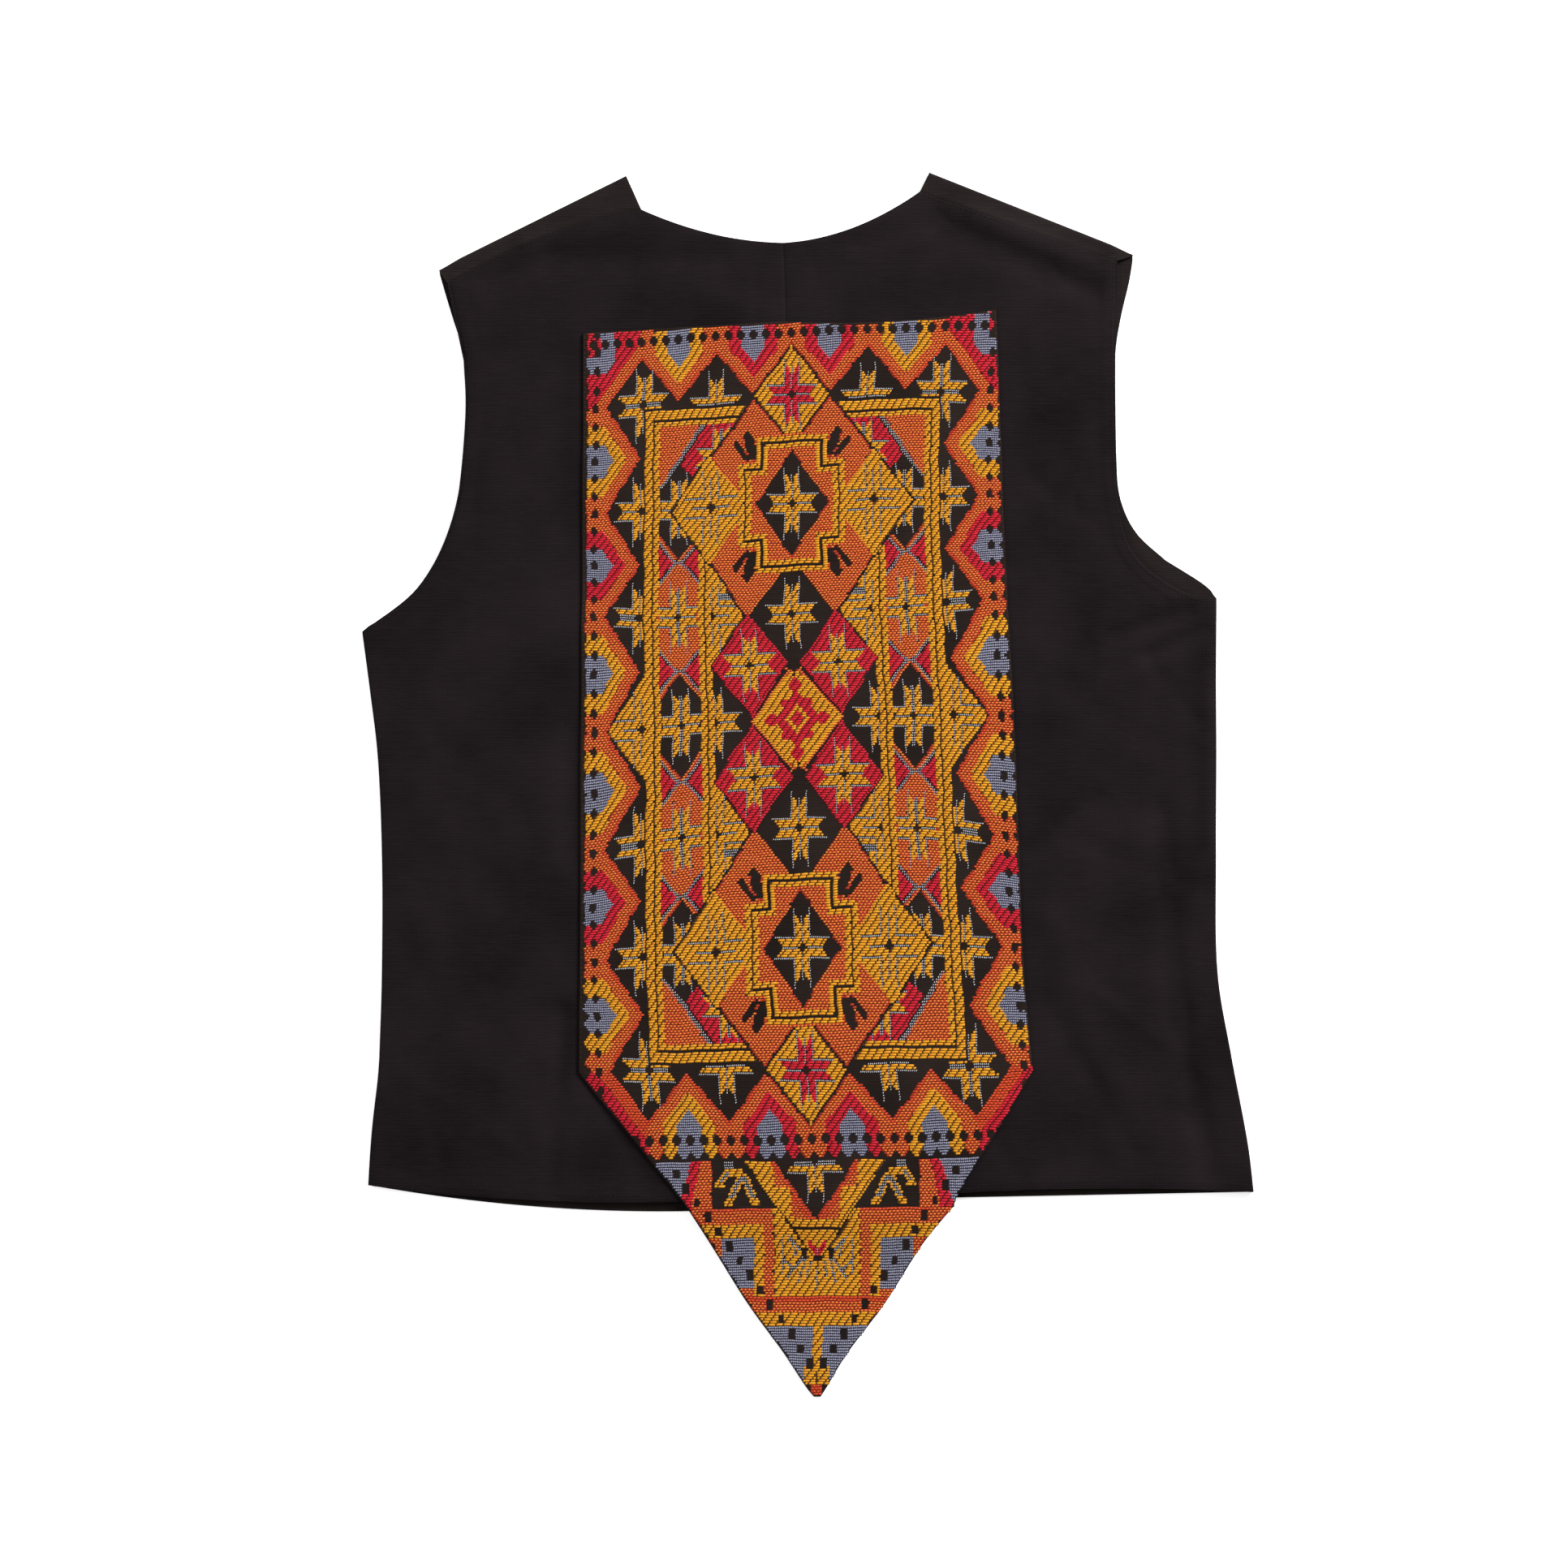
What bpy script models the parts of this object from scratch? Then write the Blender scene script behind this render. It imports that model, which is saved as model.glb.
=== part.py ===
"""Sleeveless folk vest, laid flat with its back up.

Two plain black fronts lie on the ground. Two plain black backs, joined down the middle, lie on them.
A long brocaded panel is sewn on the backs, and its point hangs past the hem and lies on the ground.
Each piece is a cloth wall through sections. X runs across the vest, Y from the hem to the neck, Z up.
The origin is under the middle of the vest's outline. Tables are in millimetres.
"""

import math
from collections import namedtuple

import bpy
import numpy as np

MM = 0.001

# Walls and gaps
CLOTH_WALL = 1.2
PANEL_WALL = 1.5
SEAM_GAP = 0.3

# Folds that join front and back: the side seam lies in the middle of its fold, the shoulder has none
SIDE_RADIUS = 0.8
SIDE_STRAIGHT = 0.25
FRONT_LEVEL = CLOTH_WALL / 2
EDGE_LEVEL = FRONT_LEVEL + 2 * (SIDE_RADIUS + SIDE_STRAIGHT) + SEAM_GAP
SHOULDER_RADIUS = (EDGE_LEVEL - FRONT_LEVEL) / 2
SHOULDER_TURNS = 4
LEAST_SLANT = 0.35  # sine of the sharpest angle at which a strip's section is taken to meet the shoulder seam

# How far the back stands off the fronts away from its edges, and how soon it gets there
LOFT = 1.2
LOFT_REACH = 30.0
LEAST_LEVEL = 1.5 * CLOTH_WALL + SEAM_GAP

# The panel lies on the back, then drops to the ground past the hem over this length
PANEL_LIFT = (CLOTH_WALL + PANEL_WALL) / 2 + SEAM_GAP
PANEL_GROUND = PANEL_WALL / 2
PANEL_DROP = 42.0

# Grid columns: middle of the back to the panel's edge, and the panel's edge to the outline
INNER_COLUMNS = 8
OUTER_COLUMNS = 9
# Where an open edge's last columns lie, as shares of the reach that a side fold takes
OPEN_EDGE_SHARES = (0.4, 0.8, 1.0)
SIDE_TURNS = (math.pi / 4, math.pi / 2)

# A section of one back, from its middle seam by the panel's edge to the outline. The bows say how far
# the section sags between its ends. Steps are grid rows since the last section. A corner breaks the curve.
Section = namedtuple("Section", "steps mid_x mid_y panel_x panel_y panel_bow out_x out_y out_bow corner")

LEFT_BACK = (
    # Hem to the panel's lower corner
    Section(0, 2.0, -244.0, -73.0, -244.0, 0.0, -257.5, -234.5, 3.8, True),
    Section(1, 1.5, -227.0, -86.5, -227.0, 0.0, -256.5, -217.5, 3.0, False),
    Section(2, 1.0, -201.0, -107.5, -201.0, 0.0, -254.5, -194.0, 1.5, False),
    Section(1, 0.5, -177.5, -126.5, -178.0, 0.0, -252.0, -173.0, 0.5, False),
    Section(1, 0.0, -164.0, -134.0, -168.0, 0.0, -251.0, -160.0, 0.0, True),
    # Side seam up to the underarm
    Section(4, -2.5, -111.0, -133.5, -111.0, 0.0, -249.5, -111.0, 0.0, False),
    Section(5, -5.0, -39.5, -133.0, -39.5, 0.0, -249.5, -39.5, 0.0, False),
    Section(4, -6.0, 17.5, -133.0, 17.5, 0.0, -252.0, 17.5, 0.0, False),
    Section(3, -7.5, 58.0, -132.5, 55.5, 0.0, -256.5, 55.5, 0.0, False),
    Section(3, -8.5, 96.0, -132.5, 93.5, 0.0, -261.0, 89.5, 0.0, True),
    # Armhole up to the shoulder
    Section(2, -9.0, 119.0, -132.0, 115.0, 0.0, -231.5, 112.0, 0.0, False),
    Section(1, -9.5, 142.0, -132.0, 136.0, 0.0, -221.0, 126.0, 0.0, False),
    Section(1, -9.5, 165.5, -132.0, 157.5, 0.0, -213.0, 142.0, 0.0, False),
    Section(1, -10.0, 188.5, -132.0, 179.0, 0.0, -207.0, 160.0, 0.0, False),
    Section(2, -11.0, 215.5, -131.5, 205.0, 0.0, -202.5, 188.5, 0.0, False),
    Section(1, -12.0, 240.5, -131.5, 231.0, 0.0, -200.5, 217.0, 0.0, False),
    Section(2, -13.0, 271.0, -131.5, 264.0, 0.0, -201.5, 248.0, -1.0, True),
    Section(1, -13.5, 290.5, -117.0, 295.5, 2.5, -206.5, 271.5, -3.5, False),
    Section(2, -14.5, 317.0, -97.5, 336.5, 4.5, -211.0, 293.5, -6.0, True),
)

RIGHT_BACK = (
    Section(0, 2.0, -244.0, 87.5, -239.0, 0.0, 261.0, -238.5, -2.4, True),
    Section(1, 1.5, -227.0, 97.0, -223.5, 0.0, 259.0, -220.0, -1.5, False),
    Section(2, 1.0, -201.0, 113.0, -198.5, 0.0, 255.0, -195.5, 0.0, False),
    Section(1, 0.5, -177.5, 125.5, -177.5, 0.0, 251.0, -175.0, 0.0, False),
    Section(1, 0.0, -164.0, 131.5, -168.0, 0.0, 248.5, -162.0, 0.0, True),
    Section(4, -2.5, -111.0, 126.5, -111.0, 0.0, 240.0, -111.0, 0.0, False),
    Section(5, -5.0, -39.5, 123.5, -39.5, 0.0, 239.0, -39.5, 0.0, False),
    Section(4, -6.0, 17.5, 121.5, 17.5, 0.0, 239.2, 20.0, 0.0, False),
    Section(3, -7.5, 58.0, 119.5, 59.5, 0.0, 239.0, 62.5, 0.0, False),
    Section(3, -8.5, 96.0, 117.0, 103.0, 0.0, 239.3, 109.0, 0.0, True),
    Section(2, -9.0, 119.0, 116.0, 124.0, 0.0, 219.5, 113.5, 0.0, False),
    Section(1, -9.5, 142.0, 115.0, 144.0, 0.0, 199.5, 126.5, 0.0, False),
    Section(1, -9.5, 165.5, 114.0, 164.0, 0.0, 188.0, 142.0, 0.0, False),
    Section(1, -10.0, 188.5, 113.5, 186.0, 0.0, 183.0, 164.0, 0.0, False),
    Section(2, -11.0, 215.5, 112.5, 213.0, 0.0, 180.5, 193.0, 0.0, False),
    Section(1, -12.0, 240.5, 111.5, 243.0, 0.0, 180.0, 224.0, 0.0, False),
    Section(2, -13.0, 271.0, 110.0, 278.0, 3.5, 180.0, 255.0, 0.0, True),
    Section(1, -13.5, 290.5, 90.0, 311.0, 5.0, 180.5, 281.0, 0.0, False),
    Section(2, -14.5, 317.0, 65.5, 347.0, 6.4, 181.0, 306.5, 0.0, True),
)

SIDE_SECTIONS = 10  # sections from the hem to the underarm, where front and back share their outline
PANEL_TOP_SECTION = 16  # the section that the panel's top edge follows

# A section of one front above the underarm, from the neck's edge to the armhole, and its hem
Front = namedtuple("Front", "steps in_x in_y out_x out_y corner")

LEFT_HEM = (-246.0, 8.8)  # height of the hem at the front's edge, and how far it sags on the way there
RIGHT_HEM = (-243.5, 0.0)
HEM_SAG_ROWS = 2  # grid rows above the hem over which its sag dies out

LEFT_FRONT = (
    Front(2, -8.5, 127.0, -229.0, 112.0, False),
    Front(1, -8.0, 155.0, -218.5, 126.0, True),
    Front(1, -19.0, 183.0, -210.5, 142.0, False),
    Front(1, -33.0, 211.0, -204.5, 160.0, False),
    Front(2, -50.0, 242.0, -200.0, 188.5, False),
    Front(1, -67.0, 271.0, -198.5, 217.0, False),
    Front(1, -82.0, 300.0, -199.5, 245.5, False),
    Front(1, -94.0, 326.0, -207.5, 271.5, False),
    Front(1, -100.0, 342.0, -212.5, 288.0, False),
    Front(1, -106.5, 356.5, -216.5, 302.0, True),
)

RIGHT_FRONT = (
    Front(2, -8.5, 130.0, 230.0, 118.7, False),
    Front(1, -8.0, 155.0, 209.5, 131.5, True),
    Front(1, 3.0, 183.0, 194.0, 145.5, False),
    Front(1, 14.0, 211.0, 185.5, 160.0, False),
    Front(2, 27.0, 242.0, 180.5, 188.5, False),
    Front(1, 40.0, 271.0, 180.0, 217.0, False),
    Front(1, 51.0, 300.0, 180.0, 250.0, False),
    Front(1, 60.5, 326.0, 183.0, 272.0, False),
    Front(1, 65.5, 343.0, 188.3, 295.0, False),
    Front(1, 71.0, 358.5, 190.8, 311.0, True),
)

# The panel past the hem, from the hem's section to its blunt point
Tail = namedtuple("Tail", "steps left_x middle_x right_x y corner")

TAIL = (
    Tail(2, -58.0, 3.0, 68.2, -267.5, False),
    Tail(2, -37.3, 4.0, 47.0, -301.0, False),
    Tail(3, -13.5, 5.0, 22.5, -334.0, False),
    Tail(2, -1.0, 5.5, 11.0, -353.0, False),
    Tail(1, 3.5, 5.5, 7.5, -358.5, True),
)

# Folds in the back: a line from one end to the other, half its width, and how far the cloth rises there
Fold = namedtuple("Fold", "x1 y1 x2 y2 reach rise")

FOLDS = (
    # Hollows below both shoulders, with the swell above them
    Fold(-200, 290, -150, 306, 12, -1.0),
    Fold(-150, 306, -52, 308, 13, -1.3),
    Fold(-164, 316, -107, 324, 9, 0.7),
    Fold(30, 317, 76, 331, 11, -1.0),
    Fold(80, 330, 140, 301, 11, -1.4),
    Fold(140, 301, 178, 287, 9, -0.9),
    Fold(90, 342, 160, 315, 9, 0.9),
    # Drag lines of the right underarm
    Fold(228, 103, 178, 87, 7, -1.3),
    Fold(232, 90, 208, 80, 6, -0.9),
    Fold(172, 200, 150, 165, 12, -0.8),
    Fold(150, 165, 118, 128, 12, -1.0),
    # Right side, down to the flared hem
    Fold(168, -8, 130, -38, 13, -0.9),
    Fold(206, -16, 216, -134, 15, -1.2),
    Fold(216, -134, 235, -228, 13, -1.2),
    Fold(234, 80, 234, -30, 6, 0.8),
    # Left side and hem
    Fold(-145, -134, -157, -238, 10, -1.3),
    Fold(-131, -172, -93, -234, 10, -1.1),
    Fold(-145, 250, -145, 150, 16, -0.7),
    Fold(-140, 32, -140, -40, 12, -0.8),
    Fold(-188, -180, -188, -225, 12, -0.6),
)

SHOULDER_LINE_X = (-216.5, -106.5, -60.0, 30.0, 71.0, 190.5)
SHOULDER_LINE_Y = (302.0, 356.5, 420.0, 420.0, 358.5, 310.5)


def curve_through(rows, field):
    """A column of a table at every grid row: a smooth curve through its sections, broken at corners."""
    at = np.cumsum([row.steps for row in rows])
    at -= at[0]
    values = np.array([getattr(row, field) for row in rows], float)
    slopes = np.diff(values) / np.diff(at)
    corners = [k for k, row in enumerate(rows) if row.corner]
    out = []
    for first, last in zip(corners, corners[1:]):
        for k in range(first, last):
            start = slopes[k] if k == first else (slopes[k - 1] + slopes[k]) / 2
            end = slopes[k] if k + 1 == last else (slopes[k] + slopes[k + 1]) / 2
            span = at[k + 1] - at[k]
            for step in range(span):
                t = step / span
                cubic = 2 * t**3 - 3 * t**2
                out.append(
                    (1 + cubic) * values[k]
                    - cubic * values[k + 1]
                    + (t**3 - 2 * t**2 + t) * span * start
                    + (t**3 - t**2) * span * end
                )
    out.append(values[-1])
    return np.array(out)


def across(start, end, bow, columns):
    """Points from one end of a section to the other, sagging by bow in the middle."""
    t = np.linspace(0, 1, columns + 1)[:, None]
    points = np.array(start) * (1 - t) + np.array(end) * t
    points[:, 1] -= bow * 4 * t[:, 0] * (1 - t[:, 0])
    return points


def distance_to(x, y, fold):
    """Distance from points to a fold's line."""
    run = np.array((fold.x2 - fold.x1, fold.y2 - fold.y1), float)
    t = ((x - fold.x1) * run[0] + (y - fold.y1) * run[1]) / (run @ run)
    t = np.clip(t, 0, 1)
    return np.hypot(x - fold.x1 - t * run[0], y - fold.y1 - t * run[1])


def outline_x(table, y):
    """Where a side's outline is at a height."""
    ys = [row.out_y for row in table]
    xs = [row.out_x for row in table]
    return np.interp(y, ys, xs)


def lay(x, y):
    """Height of the middle of the back's wall: low along the edges, higher inside, with its folds."""
    hem = LEFT_BACK[0].mid_y
    edges = (
        x - outline_x(LEFT_BACK, y),
        outline_x(RIGHT_BACK, y) - x,
        y - hem,
        np.interp(x, SHOULDER_LINE_X, SHOULDER_LINE_Y) - y,
    )
    loft = LOFT
    for inside in edges:
        loft = loft * (1 - np.exp(-np.maximum(inside, 0) / LOFT_REACH))
    height = EDGE_LEVEL + loft
    for fold in FOLDS:
        height = height + fold.rise * np.exp(-((distance_to(x, y, fold) / fold.reach) ** 2))
    return np.maximum(height, LEAST_LEVEL)


def add_edge(plan, heights, outward, rolls, turn):
    """Adds the columns past each section's end: a quarter turn down or up to the side seam, or flat cloth.

    The last column of plan is the outline. It moves in by the turn's reach, and the turn is laid past it."""
    reach = SIDE_RADIUS + CLOTH_WALL / 2
    rows = []
    for points, level, away, roll in zip(plan, heights, outward, rolls):
        start = points[-1] - away * reach
        row = [(*point, z) for point, z in zip(points[:-1], level[:-1])]
        row.append((*start, level[-1]))
        if roll:
            for angle in SIDE_TURNS:
                out = SIDE_RADIUS * math.sin(angle)
                rise = turn * SIDE_RADIUS * (1 - math.cos(angle))
                row.append((*(start + away * out), level[-1] + rise))
            out = SIDE_RADIUS
            rise = turn * (SIDE_RADIUS + SIDE_STRAIGHT)
            row.append((*(start + away * out), level[-1] + rise))
        else:
            for share in OPEN_EDGE_SHARES:
                row.append((*(start + away * reach * share), level[-1]))
        rows.append(row)
    return rows


def directions(plan, first):
    """Unit direction of each section at its outer end."""
    runs = [points[-1] - points[first] for points in plan]
    return [run / np.linalg.norm(run) for run in runs]


def back_sections(table):
    """Plan of one back: each grid row from the middle seam, past the panel's edge, to the outline."""
    column = {field: curve_through(table, field) for field in Section._fields[1:-1]}
    plan = []
    for k in range(len(column["mid_x"])):
        middle = (column["mid_x"][k], column["mid_y"][k])
        panel = (column["panel_x"][k], column["panel_y"][k])
        out = (column["out_x"][k], column["out_y"][k])
        inner = across(middle, panel, column["panel_bow"][k], INNER_COLUMNS)
        outer = across(panel, out, column["out_bow"][k], OUTER_COLUMNS)
        plan.append(np.vstack((inner, outer[1:])))
    return plan


def row_of(table, section):
    """The grid row of a section of a table."""
    return sum(row.steps for row in table[: section + 1])


def back_points(table):
    """The middle of one back's wall, row by row from the hem."""
    plan = back_sections(table)
    side = math.copysign(1, table[0].out_x)
    for points in plan:
        points[0, 0] += side * SEAM_GAP / 2
    heights = []
    for points in plan:
        level = lay(points[:, 0], points[:, 1])
        level[-1] = EDGE_LEVEL
        heights.append(level)
    underarm = row_of(table, SIDE_SECTIONS - 1)
    rolls = [k <= underarm for k in range(len(plan))]
    return add_edge(plan, heights, directions(plan, INNER_COLUMNS), rolls, -1)


def front_points(back_table, front_table, hem):
    """The middle of one front's wall: up from the hem, round the shoulder and down to the shoulder seam."""
    side = math.copysign(1, back_table[0].out_x)
    lower = [
        Front(row.steps, row.mid_x, row.mid_y, row.out_x, row.out_y, row.corner)
        for row in back_table[:SIDE_SECTIONS]
    ]
    lower[0] = lower[0]._replace(in_y=hem[0])
    table = (*lower, *front_table)
    column = {field: curve_through(table, field) for field in Front._fields[1:-1]}
    underarm = row_of(back_table, SIDE_SECTIONS - 1)
    plan = []
    for k in range(len(column["in_x"])):
        start = (column["in_x"][k] + side * SEAM_GAP / 2, column["in_y"][k])
        end = (column["out_x"][k], column["out_y"][k])
        bow = hem[1] * max(0.0, 1 - k / HEM_SAG_ROWS)
        plan.append(across(start, end, bow, OUTER_COLUMNS))
    # The last row is the shoulder's fold. The wall turns over about a line inside it.
    along = plan[-1][-1] - plan[-1][0]
    along = along / np.linalg.norm(along)
    away = np.array((-side * along[1], side * along[0]))
    away = away * math.copysign(1, away[1])
    plan[-1] = plan[-1] - away * (SHOULDER_RADIUS + CLOTH_WALL / 2)
    rolls = [k <= underarm for k in range(len(plan))]
    heights = [np.full(OUTER_COLUMNS + 1, FRONT_LEVEL) for _ in plan]
    rows = add_edge(plan, heights, directions(plan, 0), rolls, 1)
    fold = np.array(rows[-1])
    for k in range(1, SHOULDER_TURNS + 1):
        angle = math.pi * k / SHOULDER_TURNS
        row = fold.copy()
        row[:, :2] += away * SHOULDER_RADIUS * math.sin(angle)
        row[:, 2] += SHOULDER_RADIUS * (1 - math.cos(angle))
        rows.append(row)
    # The strip on top ends a gap short of the back's upper edge
    seam = np.array(back_points(back_table)[-1])[INNER_COLUMNS:]
    top = np.array(rows[-1])
    gap = top[:, :2] - seam[:, :2]
    gap = gap / np.linalg.norm(gap, axis=1)[:, None]
    # The gap is measured square to the seam, and the strip's sections may meet it at a slant
    slant = np.abs(gap @ away)
    end = seam.copy()
    end[:, :2] += gap * (SEAM_GAP / np.maximum(slant, LEAST_SLANT))[:, None]
    middle = (top + end) / 2
    middle[:, 2] = lay(middle[:, 0], middle[:, 1])
    rows.append(middle)
    rows.append(end)
    return rows


def panel_points():
    """The middle of the panel's wall: on the back's own points, moved out, then down to the ground."""
    left = back_sections(LEFT_BACK)
    right = back_sections(RIGHT_BACK)
    top = row_of(LEFT_BACK, PANEL_TOP_SECTION)
    rows = []
    for k in range(top, -1, -1):
        half = left[k][INNER_COLUMNS:0:-1]
        plan = np.vstack((half, right[k][: INNER_COLUMNS + 1]))
        level = lay(plan[:, 0], plan[:, 1]) + PANEL_LIFT
        rows.append(np.column_stack((plan, level)))
    hem = rows[-1]
    first = Tail(0, hem[0, 0], hem[INNER_COLUMNS, 0], hem[-1, 0], hem[INNER_COLUMNS, 1], True)
    table = (first, *TAIL)
    column = {field: curve_through(table, field) for field in Tail._fields[1:-1]}
    for k in range(1, len(column["y"])):
        left_end = (column["left_x"][k], column["y"][k])
        middle = (column["middle_x"][k], column["y"][k])
        right_end = (column["right_x"][k], column["y"][k])
        half = across(left_end, middle, 0, INNER_COLUMNS)
        plan = np.vstack((half[:-1], across(middle, right_end, 0, INNER_COLUMNS)))
        t = np.clip((first.y - plan[:, 1]) / PANEL_DROP, 0, 1)
        ease = t * t * (3 - 2 * t)
        level = hem[:, 2] * (1 - ease) + PANEL_GROUND * ease
        rows.append(np.column_stack((plan, level)))
    return rows


def material(name, colour, roughness):
    """A plain cloth finish."""
    finish = bpy.data.materials.new(name)
    finish.use_nodes = True
    shader = finish.node_tree.nodes["Principled BSDF"]
    shader.inputs["Base Color"].default_value = (*colour, 1)
    shader.inputs["Roughness"].default_value = roughness
    shader.inputs["Metallic"].default_value = 0.0
    return finish


def cloth(name, rows, wall, finish, collection):
    """A cloth piece: a sheet through rows of points, given its wall."""
    points = np.array([list(map(tuple, row)) for row in rows]) * MM
    count, width = points.shape[:2]
    # The sheet is a loft between unlike sections, so its faces join each row to the next
    faces = []
    for k in range(count - 1):
        for j in range(width - 1):
            a = k * width + j
            faces.append((a, a + 1, a + width + 1, a + width))
    mesh = bpy.data.meshes.new(name)
    mesh.from_pydata(points.reshape(-1, 3).tolist(), [], faces)
    middle = mesh.polygons[(count // 2) * (width - 1) + width // 2]
    if middle.normal.z < 0:
        mesh.flip_normals()
    mesh.shade_smooth()
    mesh.set_sharp_from_angle(angle=math.radians(50))
    mesh.materials.append(finish)
    piece = bpy.data.objects.new(name, mesh)
    collection.objects.link(piece)
    shell = piece.modifiers.new("Wall", "SOLIDIFY")
    shell.thickness = wall * MM
    shell.offset = 0.0
    return piece


def build():
    """Makes the vest's five pieces."""
    for old in list(bpy.data.objects):
        bpy.data.objects.remove(old, do_unlink=True)
    vest = bpy.data.collections.new("folk_vest")
    bpy.context.scene.collection.children.link(vest)
    black = material("black_cotton", (0.017, 0.014, 0.014), 0.85)
    brocade = material("brocade", (0.62, 0.30, 0.04), 0.75)
    cloth("front_left", front_points(LEFT_BACK, LEFT_FRONT, LEFT_HEM), CLOTH_WALL, black, vest)
    cloth("front_right", front_points(RIGHT_BACK, RIGHT_FRONT, RIGHT_HEM), CLOTH_WALL, black, vest)
    cloth("back_left", back_points(LEFT_BACK), CLOTH_WALL, black, vest)
    cloth("back_right", back_points(RIGHT_BACK), CLOTH_WALL, black, vest)
    cloth("woven_panel", panel_points(), PANEL_WALL, brocade, vest)


build()
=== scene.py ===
"""Sleeveless folk vest, laid flat with its back up: black cotton with a brocaded panel sewn on the back."""

import math
from collections import namedtuple

import bpy
import numpy as np
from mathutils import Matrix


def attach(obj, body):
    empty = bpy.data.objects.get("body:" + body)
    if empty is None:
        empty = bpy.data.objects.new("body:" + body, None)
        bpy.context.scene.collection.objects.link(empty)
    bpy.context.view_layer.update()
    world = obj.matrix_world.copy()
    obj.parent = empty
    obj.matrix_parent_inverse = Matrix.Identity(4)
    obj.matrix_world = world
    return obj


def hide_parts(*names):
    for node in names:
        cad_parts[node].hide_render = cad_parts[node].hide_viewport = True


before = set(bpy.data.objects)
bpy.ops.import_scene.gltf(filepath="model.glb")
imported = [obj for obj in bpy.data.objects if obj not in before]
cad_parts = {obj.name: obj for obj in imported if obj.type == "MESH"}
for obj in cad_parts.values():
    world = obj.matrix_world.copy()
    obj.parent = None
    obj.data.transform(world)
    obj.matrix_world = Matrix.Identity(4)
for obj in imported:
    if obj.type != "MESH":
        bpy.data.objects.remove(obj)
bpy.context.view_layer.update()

# Camera, floor and light
# The vest lies on a white table lit from below, so that its shadow doesn't show, and is seen from
# straight above, from far off, in even studio light that comes a little more from its right shoulder.
MM = 0.001
VIEW_CENTRE = (-0.0140, 0.0004)
VIEW_WIDTH = 0.9177
LENS = 100.0
SENSOR = 36.0
TABLE_SIZE = 14.0
TABLE_DROP = 0.2

bpy.ops.object.select_all(action="DESELECT")
bpy.ops.object.camera_add(location=(*VIEW_CENTRE, VIEW_WIDTH * LENS / SENSOR + 3 * MM))
camera = bpy.context.object
camera.data.lens = LENS
camera.data.sensor_width = SENSOR
bpy.context.scene.camera = camera

bpy.ops.mesh.primitive_plane_add(size=TABLE_SIZE, location=(0, 0, -TABLE_DROP * MM))
table_top = bpy.context.object
table_top.name = "table_top"
white_table = bpy.data.materials.new("white_table")
table_top.data.materials.append(white_table)
studio = bpy.data.worlds.new("studio")
bpy.context.scene.world = studio
WHITE = (1.0, 1.0, 1.0, 1)
TABLE_LOOK = {
    "Base Color": (0.93, 0.93, 0.93, 1), "Roughness": 0.9, "Emission Color": WHITE, "Emission Strength": 0.6,
}
for surface, shader, look in (
    (white_table, "Principled BSDF", TABLE_LOOK),
    (studio, "Background", {"Color": WHITE, "Strength": 0.27}),
):
    surface.use_nodes = True
    for socket, value in look.items():
        surface.node_tree.nodes[shader].inputs[socket].default_value = value

# Each lamp: where it hangs, its size and its power in watts
LAMPS = (
    ("shoulder_lamp", (2.3, 2.4, 1.7), 1.5, 272.0),
    ("side_lamp", (-2.0, 0.3, 1.3), 1.2, 22.0),
)
for name, place, size, power in LAMPS:
    aim = np.array(place)
    turn = (0.0, math.atan2(math.hypot(aim[0], aim[1]), aim[2]), math.atan2(aim[1], aim[0]))
    bpy.ops.object.light_add(type="AREA", location=place, rotation=turn)
    lamp = bpy.context.object
    lamp.name = name
    lamp.data.size = size
    lamp.data.energy = power
bpy.context.scene.view_settings.view_transform = "Standard"

# Backs
# Two pieces of plain-woven black cotton, sewn together down the middle of the back, hemmed at the
# bottom and faced at the neck and the armholes. They lie on the fronts, in a few soft folds.
CLOTH_WALL = 0.8
WORN_EDGE = 0.2
WORN_ANGLE = 55
SEAM_GAP = 0.06
SIDE_RADIUS = 0.9
FRONT_LEVEL = CLOTH_WALL / 2
EDGE_LEVEL = 3.0
SIDE_STRAIGHT = (EDGE_LEVEL - FRONT_LEVEL - SEAM_GAP) / 2 - SIDE_RADIUS
LOFT = 1.2
LOFT_REACH = 30.0
LEAST_LEVEL = 1.9
FINER = 4
INNER_COLUMNS = 40
OUTER_COLUMNS = 48
OPEN_EDGE_SHARES = (0.25, 0.45, 0.65, 0.8, 0.92, 1.0)
SIDE_TURNS = tuple(math.pi / 2 * k / 5 for k in (1, 2, 3, 4, 5))

# A section of one back, from its middle seam by the panel's edge to the outline. The bows say how far
# the section sags between its ends. A corner breaks the curve.
Section = namedtuple("Section", "steps mid_x mid_y panel_x panel_y panel_bow out_x out_y out_bow corner")

# The middle seam is the same for both backs: steps from the section below, and its place
MIDDLE_SEAM = (
    (0, 2, -244), (1, 1.5, -227), (2, 1, -201), (1, 0.5, -177.5), (1, 0, -164), (4, -2.5, -111),
    (5, -5, -39.5), (4, -6, 17.5), (3, -7.5, 58), (3, -8.5, 96), (2, -9, 119), (1, -9.5, 142),
    (1, -9.5, 165.5), (1, -10, 188.5), (2, -11, 215.5), (1, -12, 240.5), (2, -13, 271), (1, -13.5, 290.5),
    (2, -14.5, 317),
)
CORNER_SECTIONS = (0, 4, 9, 16, 18)


def sections(*sides):
    """One back's sections: the middle seam's places joined with its own."""
    pairs = enumerate(zip(MIDDLE_SEAM, sides, strict=True))
    return [Section(*seam, *side, k in CORNER_SECTIONS) for k, (seam, side) in pairs]


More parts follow.
